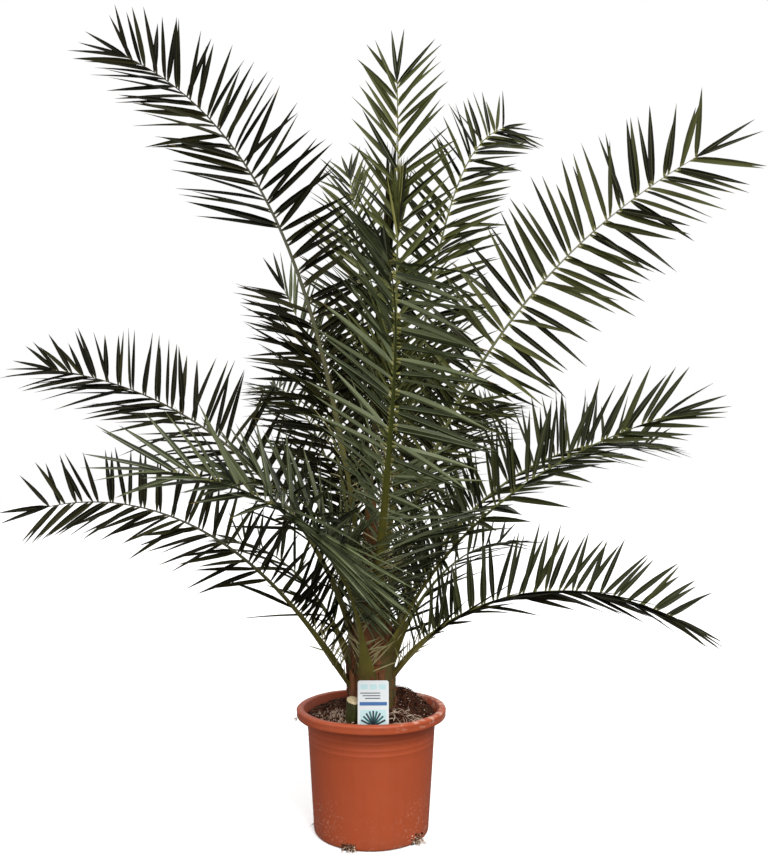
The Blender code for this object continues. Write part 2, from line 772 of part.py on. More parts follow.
def main():
    clear_scene()
    parts = new_collection("canary_island_date_palm")
    cutters = new_collection("cutters")
    pot = build_pot(parts, cutters)
    soil = build_soil(parts)
    trunk, trunk_space = build_trunk(parts, cutters)
    boolean(soil, trunk_space, "DIFFERENCE")
    label, stub = build_label_and_stub(parts, cutters, soil)
    smooth(soil, SHARP_SOIL)
    spear = build_spear(parts)
    bpy.context.view_layer.update()
    build_fronds(parts, (pot, soil, trunk, label, stub, spear), trunk_space)


main()
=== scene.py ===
"""Dresses the potted canary island date palm with its visible surfaces.

Metres, +Z up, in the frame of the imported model: the origin is the middle of
the pot's flat underside, and the front is towards -Y.
"""

import math
import random
from dataclasses import dataclass

import bpy
from bpy.props import FloatProperty, FloatVectorProperty, IntProperty, PointerProperty
from bpy.types import Operator, Panel, PropertyGroup
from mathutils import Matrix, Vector, noise


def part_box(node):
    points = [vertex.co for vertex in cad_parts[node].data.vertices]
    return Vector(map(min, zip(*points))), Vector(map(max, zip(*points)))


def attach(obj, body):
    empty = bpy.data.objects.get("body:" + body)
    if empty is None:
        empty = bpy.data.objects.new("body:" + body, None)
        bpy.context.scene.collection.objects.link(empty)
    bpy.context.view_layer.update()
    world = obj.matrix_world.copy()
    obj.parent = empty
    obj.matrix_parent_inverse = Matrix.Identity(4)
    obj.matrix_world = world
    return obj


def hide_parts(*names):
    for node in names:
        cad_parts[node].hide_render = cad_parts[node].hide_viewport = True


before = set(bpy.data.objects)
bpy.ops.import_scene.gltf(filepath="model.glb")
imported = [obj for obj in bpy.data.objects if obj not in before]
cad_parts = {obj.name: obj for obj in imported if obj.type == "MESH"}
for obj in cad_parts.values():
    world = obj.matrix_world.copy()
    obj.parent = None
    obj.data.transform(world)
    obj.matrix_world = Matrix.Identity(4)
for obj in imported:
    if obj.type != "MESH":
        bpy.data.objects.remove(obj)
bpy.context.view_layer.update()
POT_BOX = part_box("pot")

bl_info = {
    "name": "Potted date palm",
    "version": (1, 0, 0),
    "blender": (4, 5, 0),
    "location": "View3D > Sidebar > Date palm",
    "description": "Makes the visible surfaces of a young date palm in a nursery pot",
    "category": "Object",
}

UP = Vector((0.0, 0.0, 1.0))
DOWN = -UP
TURN = 2.0 * math.pi

# --------------------------------------------------------------- pot sizes
BODY_FOOT_RADIUS = 0.0985
BODY_TOP_RADIUS = 0.1115
LIP_HEIGHT = 0.016
MOUTH_RADIUS = 0.1175
WALL = 0.0022
FLOOR = 0.004
RING_HEIGHTS = (0.1815, 0.1735, 0.1625, 0.1535)
RING_PROUD = 0.00022
RING_WIDTH = 0.0028
NOTCH_ANGLES = (29, 101, 173, 245, 317)
NOTCH_WIDTH = 0.018               # a half circle, so half as high
NOTCH_CUT = 0.012                 # how far the cut reaches through the wall
RIM_FADE = 0.030                  # the rim's unevenness fades out over this height
RIM_WAVE = 0.0011
RIM_WAVE_FINE = 0.00022
RIM_RISE = 0.0008
RIM_RISE_FINE = 0.0002

# -------------------------------------------------------------- soil sizes
SOIL_EDGE = 0.1925
SOIL_CROWN = 0.2160
SOIL_RADIUS = 0.1108
SOIL_FOOT = 0.1770
SOIL_LUMP = 0.0022
SOIL_BANK = 0.024
SOIL_BANK_SPREAD = 0.036
SOIL_BANK_PLACE = (0.058, 0.046)
SOIL_SEED = 7
CRUMB_REACH = 0.106               # crumbs lie, and roots begin, inside this radius
ROOT_REACH = 0.107
PALE_ROOTS = 30                   # thick pale roots in front, right of the middle
SHORT_ROOTS = 260                 # short roots in front, left of the middle
# mud at the pot's foot: angle round the pot, size, crumbs and roots
MUD_CLUMPS = ((249, 0.017, 170, 14), (320, 0.019, 160, 18), (175, 0.011, 60, 5),
              (31, 0.013, 80, 7), (103, 0.013, 80, 8))

# ------------------------------------------------------------- trunk sizes
TRUNK_PROFILE = (
    (0.200, 0.0390), (0.225, 0.0385), (0.255, 0.0365), (0.300, 0.0330),
    (0.350, 0.0275), (0.400, 0.0215), (0.450, 0.0165), (0.500, 0.0130),
    (0.555, 0.0090), (0.578, 0.0050),
)
TRUNK_FOOT = TRUNK_PROFILE[0][0]
TRUNK_TOP = 0.5795
TRUNK_SEED = 11
BASES_LOW = 0.196                 # old leaf bases stand from this height
BASES_SPAN = 0.150                # and over this much of it
GOLDEN_ANGLE = 137.5              # from one leaf base to the next, degrees
LOW_STRANDS = (0.205, 0.330)      # heights at which the wound fibres begin
HIGH_STRANDS = (0.300, 0.520)     # and those of every third one
WEAVE_TURNS = 22                  # crossing waves of the woven fibre round the trunk
WEAVE_RISE = 260.0


@dataclass(frozen=True)
class Frond:
    """One frond: the line of its rib and the stand of its leaflets, in degrees."""

    name: str
    heading: float            # where the rib sets out, round the trunk from +X
    swing: float              # how far the heading turns on the way to the tip
    seat_height: float        # the rib's foot: its height and distance off the axis
    seat_radius: float
    length: float
    rise: float               # the rib's slope over the level, at foot and tip
    tip_rise: float
    bend: float               # over 1, the slope changes mostly near the tip
    roll: float               # the blade's turn about its rib, at foot and tip
    tip_roll: float
    petiole: float            # share of the rib below its first full leaflets
    leaf: float               # length of the longest leaflets
    fore_left: float          # between the rib and the leaflets of each side
    fore_right: float
    lift: float               # how far leaflets stand up out of the blade
    shade: str                # palette of the leaflets
    skin: str = "rib_green"   # material of stalk and rib
    stout: float = 1.0        # the rib's width, as a factor
    folded: float = 0.0       # where a bundle of folded leaflets ends, none at 0
    bare_side: int = 0        # the side, 1 or -1, without leaflets from and to
    bare_from: float = 0.0
    bare_to: float = 0.0
    close: float = 34.0       # how far leaflets lean forward towards the tip
    slim: float = 1.0         # the leaflets' width and their number, as factors
    crowd: float = 1.0
    other: str = ""           # palette of the veil, or else of the right side
    spines: int = 0           # number of extra spines on the stalk
    veil: tuple = ()          # hanging leaflets: from, to, number and direction


FRONDS = (
    #      name        head swing seat_z seat_r length rise tip bend
    #                  roll tip_roll petiole leaf fore_l fore_r lift shade
    Frond("frond_01", 170, 0, 0.43, 0.014, 1.155, 80.5, 26, 2.3,
          -65, -80, 0.26, 0.165, 62, 74, 15, "dusk", "rib_dark", 1.3, slim=1.10, crowd=1.12,
          bare_side=1, bare_from=0.43, bare_to=0.56),
    Frond("frond_02", 140, 0, 0.36, 0.030, 0.665, 83, 57, 1.4,
          -50, -60, 0.30, 0.145, 70, 55, 15, "dusk", slim=0.90, other="bloom"),
    Frond("frond_03", -14, 0, 0.46, 0.018, 0.885, 84, 91, 0.7,
          82, 90, 0.30, 0.150, 44, 60, 15, "young", folded=0.73, close=18.0),
    Frond("frond_04", 286, -24, 0.35, 0.026, 0.770, 80, 6, 1.2,
          -25, -35, 0.25, 0.165, 94, 66, 10, "bloom", "rib_green", 1.6),
    Frond("frond_05", 40, 0, 0.42, 0.020, 1.030, 77, 20, 6.0,
          45, 60, 0.30, 0.135, 62, 60, 18, "fresh", close=8.0, slim=1.08, crowd=1.18),
    Frond("frond_06", -14, 0, 0.37, 0.026, 0.985, 78, 27, 1.2,
          70, 80, 0.30, 0.165, 78, 88, 15, "olive", "rib_pale", slim=1.08, crowd=1.15),
    Frond("frond_07", -38, 22, 0.30, 0.036, 0.645, 66, 16, 0.9,
          40, 60, 0.20, 0.140, 66, 56, 25, "deep", other="haze", spines=14,
          veil=(0.14, 0.52, 34, (-0.90, -0.30, -0.12))),
    Frond("frond_08", 30, 0, 0.30, 0.036, 0.850, 70, -6, 0.85,
          35, 45, 0.28, 0.150, 68, 56, 35, "deep"),
    Frond("frond_09", -8, 0, 0.255, 0.034, 0.550, 57, -28.5, 0.92,
          35, 40, 0.16, 0.130, 66, 38, 35, "deep", close=8.0, slim=0.95, crowd=1.45,
          other="dusk", spines=16),
    Frond("frond_10", 166, 0, 0.33, 0.036, 0.840, 74, 7, 0.87,
          -50, -50, 0.26, 0.155, 58, 68, 22, "dusk", "rib_dark", crowd=1.15),
    Frond("frond_11", 256, -52, 0.26, 0.036, 0.585, 79, 6, 0.87,
          -35, -45, 0.18, 0.170, 55, 66, 28, "haze", "rib_green", 1.25,
          other="bloom", spines=30, veil=(0.23, 0.72, 46, (0.76, -0.34, -0.42))),
    Frond("frond_12", 192, 0, 0.240, 0.034, 0.648, 56, -15, 1.85,
          -60, -70, 0.16, 0.116, 52, 78, 15, "dusk", "rib_dark",
          bare_side=1, bare_from=0.10, bare_to=0.37, close=12.0, slim=0.82, crowd=1.3,
          spines=16),
    Frond("frond_13", 84, 0, 0.255, 0.036, 0.600, 60, -30, 1.0,
          0, -20, 0.17, 0.140, 60, 60, 30, "deep"),
    Frond("frond_14", 112, 0, 0.33, 0.036, 0.850, 72, 10, 0.9,
          -10, -30, 0.26, 0.155, 60, 60, 25, "deep"),
    Frond("frond_15", 62, 0, 0.32, 0.036, 0.840, 70, 6, 0.9,
          10, 30, 0.26, 0.155, 60, 60, 25, "deep"),
    Frond("frond_16", 100, 0, 0.47, 0.018, 0.850, 82, 50, 2.0,
          0, -20, 0.30, 0.160, 52, 52, 20, "young"),
    Frond("frond_17", 138, 0, 0.245, 0.036, 0.440, 66, 2, 1.0,
          -20, -35, 0.17, 0.130, 60, 60, 40, "deep", slim=0.75, crowd=0.6),
    Frond("frond_18", 46, 0, 0.250, 0.036, 0.470, 64, -4, 1.0,
          20, 35, 0.17, 0.125, 60, 60, 40, "deep", slim=0.80, crowd=0.7),
    Frond("frond_19", 230, 0, 0.35, 0.028, 0.430, 80, -6, 1.1,
          -30, -40, 0.26, 0.140, 60, 66, 25, "haze"),
)

# the leaflets of a blade
LEAF_SIDES_AT = (0.25, 0.60)      # where in its spacing each side's leaflet stands
BLADE_END = 0.985                 # where along the rib the last ones stand
FOOT_SHORT = 0.30                 # length of the lowest leaflets, as a share
GROWN_AT = 0.30                   # share of the blade by which they are full grown
TIP_SHORT = 0.30                  # how much shorter they are at the tip
TIP_SHORT_POWER = 2.4
FORE_FOOT = 6.0                   # how much further they stand out at the foot
LIFT_TIP = 0.3                    # how much less they are lifted at the tip
SPREAD_FORE = 6.5                 # how unevenly leaflets stand, degrees
SPREAD_LIFT = 8.0
SPREAD_TURN = 34.0
JITTER_LENGTH = 0.07
DRY_TIPS = 0.08                   # share of leaflets with a dry tip
RANKS = (9.0, -9.0, 1.0)          # leaflets stand in three ranks, degrees
PAIRING = 0.26                    # neighbours draw together, share of their spacing
FRINGE_LOW = 0.40                 # thin leaflets, from this share of the stalk
FRINGE_HIGH = 0.16                # to this share of the blade
FRINGE_LENGTHS = (0.045, 0.165)   # at the lowest and at the highest
FRINGE_WIDTHS = (0.0042, 0.0080)
FRINGE_FORE = 76.0                # it stands out as the blade does, to about this
BUNDLE_FOOT = 0.655               # where the bundle of folded leaflets begins
BUNDLE_SPACING = 0.0016
BUNDLE_LENGTH = 0.138
VEIL_LENGTH = 0.200
VEIL_SPREAD = 0.13
SPINE_WIDTH = 0.0028

# a leaflet's outline: share of its length, share of its full width
LEAF_OUTLINE = (
    (0.00, 0.34), (0.05, 0.60), (0.14, 0.90), (0.30, 1.00), (0.51, 0.88),
    (0.71, 0.61), (0.88, 0.28), (1.00, 0.02),
)
LEAF_FOLD_FOOT = 34.0             # degrees, steep at the foot, flatter above
LEAF_FOLD_TIP = 16.0
LEAF_THICK = 0.00042
MIDRIB_HALF = 0.00055

# a rib's cross-section, in half widths and half depths, from the left edge
RIB_OUTLINE = (
    (1.00, 0.10), (0.82, 0.36), (0.42, 0.22), (0.00, 0.12), (-0.42, 0.22),
    (-0.82, 0.36), (-1.00, 0.10), (-0.80, -0.52), (-0.34, -0.94),
    (0.34, -0.94), (0.80, -0.52),
)
RIB_STATIONS = 44                 # rings from foot to tip, and below the foot
RIB_FEET = 5
RIB_TIP = 0.0007                  # half the rib's width at its tip
RIB_BLADE = 0.0056                # the same low down, above the sheath
RIB_SHEATH = 0.0112               # added to the half width at the foot
RIB_DEEPER = 0.0016               # added to the half depth at the foot
RIB_FLAT = 0.8                    # the rib's depth over its width
RIB_TAPER = 1.4
RIB_SHEATH_FADE = 0.055           # length over which the sheath narrows
RIB_HUG = 0.07                    # length over which it lies round the trunk
RIB_CURVE = 0.072                 # twice the radius it is bent round
SHEATH_FOOT = 0.203               # low sheaths reach down to this height
LOW_SEAT = 0.31                   # stalks seated below this have such a sheath
BARE_SEAT = 0.335                 # stalks seated below this have a bare underside
HIDDEN_FOOT = 0.045               # how far the others reach down, out of sight

# three leaf colours that a frond is dealt, its leaflets' midribs, partly a painted highlight, and
# their feet
# most palettes are lit and shaded copies of one dark olive leaf, dealt by how lit or shaded a
# frond stands
PALETTES = {
    # painted shade: near black, for fronds seen from below against the light
    "dusk": ((0.005, 0.005, 0.002), (0.011, 0.010, 0.004), (0.026, 0.025, 0.008),
             (0.026, 0.024, 0.010), (0.050, 0.044, 0.020)),
    # painted shade: darker, for fronds lying in the crown's shade
    "deep": ((0.011, 0.012, 0.004), (0.027, 0.031, 0.010), (0.051, 0.055, 0.016),
             (0.058, 0.064, 0.026), (0.120, 0.118, 0.036)),
    "olive": ((0.011, 0.011, 0.004), (0.046, 0.048, 0.012), (0.084, 0.088, 0.024),
              (0.078, 0.084, 0.030), (0.160, 0.155, 0.050)),
    # painted shade: the young colours darkened
    "fresh": ((0.007, 0.007, 0.003), (0.031, 0.034, 0.007), (0.064, 0.069, 0.016),
              (0.090, 0.100, 0.036), (0.200, 0.195, 0.055)),
    "young": ((0.010, 0.011, 0.003), (0.057, 0.064, 0.013), (0.108, 0.116, 0.034),
              (0.135, 0.150, 0.060), (0.230, 0.225, 0.065)),
    # bluish and waxy, lightened as painted light on undersides that face the camera
    "bloom": ((0.030, 0.041, 0.012), (0.069, 0.085, 0.032), (0.142, 0.167, 0.080),
              (0.230, 0.255, 0.130), (0.220, 0.212, 0.060)),
    # painted shade: the bluish waxy colours darkened
    "haze": ((0.016, 0.020, 0.007), (0.046, 0.056, 0.022), (0.090, 0.104, 0.045),
             (0.170, 0.185, 0.095), (0.160, 0.155, 0.048)),
}
SHARES = (3, 4, 2)                # how often each leaf colour is dealt
DRY_COLOUR = (0.112, 0.080, 0.028)
SPINE_COLOUR = (0.340, 0.305, 0.150)
LEAF_ROUGHNESS = 0.42
SHINE = {"dusk": 0.06, "deep": 0.11, "olive": 0.14, "fresh": 0.12, "young": 0.14}
SHINE_COMMON = 0.28
# the midrib slot colours a strip along each leaflet's middle: partly its real midrib, partly a
# painted highlight
MIDRIB_SHEEN, FOOT, DRY, SPINE, OTHER = 3, 4, 5, 6, 7   # slots after the leaf colours


# ================================================================ settings
class PalmPotSettings(PropertyGroup):
    height: FloatProperty(name="Height", description="Height of the pot", unit="LENGTH",
                          default=POT_BOX[1].z, min=0.1, max=0.4)
    rim_radius: FloatProperty(name="Rim radius", description="Outer radius of the lip",
                              unit="LENGTH", default=POT_BOX[1].x, min=0.08, max=0.2)
    steps: IntProperty(name="Steps", description="Faces round the pot", default=128,
                       min=32, max=256)
    colour: FloatVectorProperty(name="Colour", description="Colour of the plastic",
                                subtype="COLOR", default=(0.430, 0.076, 0.024))
    scuff_colour: FloatVectorProperty(name="Scuffs", description="Colour of the scuffs",
                                      subtype="COLOR", default=(0.620, 0.330, 0.240))


class PalmSoilSettings(PropertyGroup):
    colour: FloatVectorProperty(name="Colour", description="Colour of the compost",
                                subtype="COLOR", default=(0.020, 0.0066, 0.0034))
    crumbs: IntProperty(name="Crumbs", description="Number of crumbs on the soil",
                        default=2600, min=0, max=6000)
    roots: IntProperty(name="Roots", description="Number of fine roots on the soil",
                       default=300, min=0, max=1000)


class PalmTrunkSettings(PropertyGroup):
    bases: IntProperty(name="Old leaf bases", description="Cut leaf bases round the trunk",
                       default=26, min=0, max=60)
    strands: IntProperty(name="Fibres", description="Fibres wound round the trunk",
                         default=620, min=0, max=2000)
    colour: FloatVectorProperty(name="Fibre colour", description="Colour of the fibre mat",
                                subtype="COLOR", default=(0.170, 0.058, 0.021))


class PalmFrondSettings(PropertyGroup):
    spacing: FloatProperty(name="Leaflet spacing", description="Between pairs of leaflets",
                           unit="LENGTH", default=0.0168, min=0.008, max=0.05)
    width: FloatProperty(name="Leaflet width", description="Width of a full leaflet",
                         unit="LENGTH", default=0.0114, min=0.004, max=0.04)
    fringe_spacing: FloatProperty(name="Fringe spacing", description="Between thin leaflets",
                                  unit="LENGTH", default=0.0078, min=0.004, max=0.05)
    seed: IntProperty(name="Seed", description="Seed of the small irregularities",
                      default=20, min=0)


class PalmLabelSettings(PropertyGroup):
    card_colour: FloatVectorProperty(name="Card", description="Colour of the card",
                                     subtype="COLOR", default=(0.78, 0.82, 0.83))
    band_colour: FloatVectorProperty(name="Band", description="Colour of the band",
                                     subtype="COLOR", default=(0.055, 0.170, 0.400))


class PalmStageSettings(PropertyGroup):
    distance: FloatProperty(name="Camera distance", description="From the pot's axis",
                            unit="LENGTH", default=1.5, min=0.5, max=10)
    camera_height: FloatProperty(name="Camera height", description="Over the floor",
                                 unit="LENGTH", default=0.588, min=0, max=5)


# =============================================================== materials
def mapped(tree, source, low, high, to_low, to_high):
    """Map a socket's values from one range to another and keep them inside it."""
    node = tree.nodes.new("ShaderNodeMapRange")
    for key, value in (("From Min", low), ("From Max", high),
                       ("To Min", to_low), ("To Max", to_high)):
        node.inputs[key].default_value = value
    tree.links.new(source, node.inputs["Value"])
    return node.outputs[0]


class Finish:
    """A node material in the making: tints, roughness and bumps on one shader."""

    def __init__(self, name, colour, roughness, specular=0.5):
        self.material = bpy.data.materials.new(name)
        self.material.use_nodes = True
        self.nodes = self.material.node_tree.nodes
        self.links = self.material.node_tree.links
        self.shader = self.nodes["Principled BSDF"]
        self.colour = (*colour, 1.0)
        self.shader.inputs["Base Color"].default_value = self.colour
        self.shader.inputs["Roughness"].default_value = roughness
        self.shader.inputs["Specular IOR Level"].default_value = specular
        self.material.diffuse_color = self.colour
        self.place = self.nodes.new("ShaderNodeTexCoord").outputs["Object"]

    def stretched(self, place, stretch):
        mapping = self.nodes.new("ShaderNodeMapping")
        mapping.inputs["Scale"].default_value = stretch
        self.links.new(place, mapping.inputs["Vector"])
        return mapping.outputs[0]

    def noise(self, scale, detail=4.0, stretch=None, place=None):
        place = place or self.place
        if stretch:
            place = self.stretched(place, stretch)
        node = self.nodes.new("ShaderNodeTexNoise")
        node.inputs["Scale"].default_value = scale
        node.inputs["Detail"].default_value = detail
        self.links.new(place, node.inputs["Vector"])
        return node.outputs[0]

    def along_map(self, stretch):
        node = self.nodes.new("ShaderNodeUVMap")
        node.uv_map = "along"
        return self.stretched(node.outputs[0], stretch)

    def axis(self, place, index):
        node = self.nodes.new("ShaderNodeSeparateXYZ")
        self.links.new(place, node.inputs[0])
        return node.outputs[index]

    def span(self, source, low, high, to_low=0.0, to_high=1.0):
        return mapped(self.material.node_tree, source, low, high, to_low, to_high)

    def join(self, operation, first, second):
        node = self.nodes.new("ShaderNodeMath")
        node.operation = operation
        for socket, value in zip(node.inputs, (first, second)):
            if isinstance(value, (int, float)):
                socket.default_value = value
            else:
                self.links.new(value, socket)
        return node.outputs[0]

    def tint(self, factor, colour):
        node = self.nodes.new("ShaderNodeMix")
        node.data_type = "RGBA"
        self.links.new(factor, node.inputs[0])
        if isinstance(self.colour, tuple):
            node.inputs[6].default_value = self.colour
        else:
            self.links.new(self.colour, node.inputs[6])
        node.inputs[7].default_value = (*colour, 1.0)
        self.colour = node.outputs[2]
        self.links.new(self.colour, self.shader.inputs["Base Color"])

    def rough(self, source, low, high):
        self.links.new(self.span(source, 0.3, 0.7, low, high), self.shader.inputs["Roughness"])

    def bump(self, source, strength, distance):
        node = self.nodes.new("ShaderNodeBump")
        node.inputs["Strength"].default_value = strength
        node.inputs["Distance"].default_value = distance
        self.links.new(source, node.inputs["Height"])
        normal = self.shader.inputs["Normal"]
        if normal.is_linked:
            self.links.new(normal.links[0].from_socket, node.inputs["Normal"])
        self.links.new(node.outputs[0], normal)


def pot_plastic(settings):
    """Moulded plastic, cloudy and streaked, scuffed at rim and foot, dusty low down."""
    finish = Finish("pot_plastic", settings.colour, 0.42, 0.38)
    height = finish.axis(finish.place, 2)
    across = finish.axis(finish.place, 0)
    beside = finish.span(finish.join("ABSOLUTE", across, 0.0), 0.040, 0.085, 0.12, 1.0)
    cloudy = finish.noise(9.0, 5.0)
    finish.tint(finish.span(cloudy, 0.35, 0.75, 0.0, 0.22), (0.500, 0.112, 0.042))
    streaks = finish.noise(60.0, 3.0, (1.0, 1.0, 0.06))
    finish.tint(finish.span(streaks, 0.48, 0.70, 0.0, 0.20), (0.300, 0.055, 0.022))
    specks = finish.span(finish.noise(260.0, 5.0), 0.57, 0.67)
    low = finish.join("MULTIPLY", finish.span(height, 0.095, 0.020), beside)
    finish.tint(finish.join("MULTIPLY", specks, low), settings.scuff_colour)
    worn = finish.span(finish.noise(120.0, 6.0), 0.50, 0.66)
    edge = finish.span(height, 0.007, 0.001)
    finish.tint(finish.join("MULTIPLY", worn, edge), (0.480, 0.300, 0.220))
    rubbed = finish.span(finish.noise(70.0, 7.0, (1.0, 1.0, 2.2)), 0.50, 0.60)
    right = finish.span(across, 0.030, 0.075, 0.06, 1.0)
    high = finish.join("MULTIPLY", finish.span(height, 0.1935, 0.2030), right)
    finish.tint(finish.join("MULTIPLY", rubbed, high), settings.scuff_colour)
    dusty = finish.span(finish.noise(24.0, 6.0, (1.0, 1.0, 0.5)), 0.45, 0.75, 0.0, 0.45)
    foot = finish.span(height, 0.030, 0.002)
    finish.tint(finish.join("MULTIPLY", dusty, foot), (0.210, 0.095, 0.055))
    finish.rough(finish.noise(46.0, 4.0), 0.36, 0.56)
    finish.bump(finish.noise(820.0, 2.0), 0.10, 0.0004)
    finish.bump(finish.noise(30.0, 3.0, (1.0, 1.0, 0.2)), 0.12, 0.002)
    return finish.material


def earth(name, colour, patch):
    """Matt compost with patches of a second colour and brown specks."""
    finish = Finish(name, colour, 0.95, 0.10)
    finish.tint(finish.span(finish.noise(140.0, 6.0), 0.44, 0.70), patch)
    finish.tint(finish.span(finish.noise(420.0, 3.0), 0.60, 0.72, 0.0, 0.45),
                (0.170, 0.085, 0.052))
    finish.bump(finish.noise(520.0, 6.0), 0.7, 0.002)
    return finish.material


def grained(name, colour, patch, roughness=0.8, scale=160.0, stretch=(1.0, 1.0, 0.12)):
    """A dull fibrous surface with grain that runs upwards."""
    finish = Finish(name, colour, roughness, 0.3)
    grain = finish.noise(scale, 5.0, stretch)
    finish.tint(finish.span(grain, 0.38, 0.66), patch)
    finish.bump(grain, 0.5, 0.0012)
    return finish.material


def leaf_skin(name, colour, roughness, specular=SHINE_COMMON):
    """Leathery leaflet skin in one plain colour, with fine lengthwise veins."""
    finish = Finish(name, colour, roughness, specular)
    finish.rough(finish.noise(55.0, 4.0), roughness - 0.06, roughness + 0.12)
    veins = finish.noise(1.0, 2.0, None, finish.along_map((42.0, 1.2, 1.0)))
    finish.bump(veins, 0.22, 0.0005)
    return finish.material


RIB_COLOURS = {
    "rib_green": ((0.165, 0.142, 0.024), (0.095, 0.112, 0.018), (0.095, 0.110, 0.034)),
    # painted shade: a dark copy of the rib for fronds seen from below against the light
    "rib_dark": ((0.115, 0.104, 0.018), (0.050, 0.048, 0.014), (0.022, 0.020, 0.010)),
    "rib_pale": ((0.100, 0.102, 0.018), (0.120, 0.128, 0.045), (0.330, 0.320, 0.240)),
}


def rib_skin(name):
    """Stalk and rib: brown at the foot, yellow-green, then its own tone to the tip."""
    stalk, middle, end = RIB_COLOURS[name]
    finish = Finish(name, stalk, 0.45, 0.35)
    share = finish.axis(finish.along_map((1.0, 1.0, 1.0)), 1)
    finish.tint(finish.span(share, 0.16, 0.45), middle)
    finish.tint(finish.span(share, 0.45, 0.85), end)
    finish.tint(finish.span(share, 0.07, 0.0, 0.0, 0.7), (0.070, 0.045, 0.016))
    mottle = finish.noise(90.0, 5.0, (1.0, 1.0, 0.3))
    finish.tint(finish.span(mottle, 0.42, 0.70, 0.0, 0.40), (0.048, 0.052, 0.011))
    finish.rough(mottle, 0.36, 0.52)
    finish.bump(finish.noise(1.0, 3.0, None, finish.along_map((34.0, 30.0, 1.0))), 0.25, 0.0008)
    return finish.material


def plain_skin(name, colour, roughness, scale, strength):
    """One even colour with a fine grain."""
    finish = Finish(name, colour, roughness)
    grain = finish.noise(scale, 4.0)
    finish.rough(grain, roughness - 0.05, roughness + 0.08)
    finish.bump(grain, strength, 0.0005)
    return finish.material


def shared(name, make, *words):
    """A material by name, made the first time it is asked for."""
    return bpy.data.materials.get(name) or make(name, *words)


def skins(table):
    """The materials of a table: name, maker and the maker's other words."""
    return [shared(name, make, *words) for name, make, *words in table]


def leaf_materials(shade):
    """A palette's three leaf colours, midrib with its painted highlight, foot, dry tip and spine.
    """
    parts = ("low", "middle", "high", "midrib", "foot")
    names = [f"leaf_{shade}_{part}" for part in parts] + ["leaf_dry", "leaf_spine"]
    colours = (*PALETTES[shade], DRY_COLOUR, SPINE_COLOUR)
    shine = SHINE.get(shade, SHINE_COMMON)
    return [shared(name, leaf_skin, colour, LEAF_ROUGHNESS, shine)
            for name, colour in zip(names, colours)]


# ================================================================= helpers
def deselect():
    """Leave edit mode and select nothing."""
    active = bpy.context.object
    if active is not None and active.mode != "OBJECT":
        bpy.ops.object.mode_set(mode="OBJECT")
    bpy.ops.object.select_all(action="DESELECT")


def named(piece, name):
    """Name the piece and its mesh alike."""
    piece.name = name
    piece.data.name = name
    return piece


def picked(*pieces):
    """Select these pieces alone, the first as the active one."""
    deselect()
    for piece in pieces:
        piece.select_set(True)
    bpy.context.view_layer.objects.active = pieces[0]


def edit_all(piece):
    """Open the piece in edit mode with all of it selected."""
    picked(piece)
    bpy.ops.object.mode_set(mode="EDIT")
    bpy.ops.mesh.select_all(action="SELECT")


def settled(piece):
    """Put the piece's place into its mesh."""
    picked(piece)
    bpy.ops.object.transform_apply(location=True, rotation=True, scale=True)
    return piece


def with_modifier(piece, kind, **values):
    modifier = piece.modifiers.new(kind.lower(), kind)
    for key, value in values.items():
        setattr(modifier, key, value)
    picked(piece)
    bpy.ops.object.modifier_apply(modifier=modifier.name)


def smooth(piece, angle):
    """Shade the piece smooth where its faces meet at less than the angle."""
    picked(piece)
    bpy.ops.object.shade_smooth_by_angle(angle=math.radians(angle))
    return piece


def spun(name, profile, steps):
    """A turned form: one vertex is drawn along the profile, then spun."""
    deselect()
    bpy.ops.mesh.primitive_plane_add(size=0.001)
    piece = named(bpy.context.object, name)
    edit_all(piece)
    bpy.ops.mesh.merge(type="CENTER")
    bpy.ops.transform.translate(value=(profile[0][0], 0.0, profile[0][1]))
    for before, after in zip(profile, profile[1:]):
        move = (after[0] - before[0], 0.0, after[1] - before[1])
        bpy.ops.mesh.extrude_vertices_move(TRANSFORM_OT_translate={"value": move})
    bpy.ops.mesh.select_all(action="SELECT")
    bpy.ops.mesh.spin(steps=steps, angle=TURN, center=(0, 0, 0), axis=(0, 0, 1))
    bpy.ops.mesh.select_all(action="SELECT")
    bpy.ops.mesh.remove_doubles(threshold=0.00002)
    bpy.ops.mesh.normals_make_consistent(inside=False)
    bpy.ops.object.mode_set(mode="OBJECT")
    return piece


def refined(profile, step):
    """The profile with more points, so that none are further apart than step."""
    points = [profile[0]]
    for (r0, h0), (r1, h1) in zip(profile, profile[1:]):
        parts = max(1, math.ceil(math.hypot(r1 - r0, h1 - h0) / step))
        points += [(r0 + (r1 - r0) * i / parts, h0 + (h1 - h0) * i / parts)
                   for i in range(1, parts + 1)]
    return points


def between(table, value):
    """The second column of a table of pairs, at a value of the first."""
    if value <= table[0][0]:
        return table[0][1]
    for (a, low), (b, high) in zip(table, table[1:]):
        if value <= b:
            return low + (high - low) * (value - a) / (b - a)
    return table[-1][1]


def blend(low, high, share):
    """The value at a share of the way from low to high."""
    return low + (high - low) * share


def eased(value):
    """From 0 to 1 with a soft start and end."""
    value = min(1.0, max(0.0, value))
    return value * value * (3.0 - 2.0 * value)


def polar(reach, angle, height=0.0):
    """The place at a distance from the axis, an angle round it and a height."""
    return Vector((reach * math.cos(angle), reach * math.sin(angle), height))


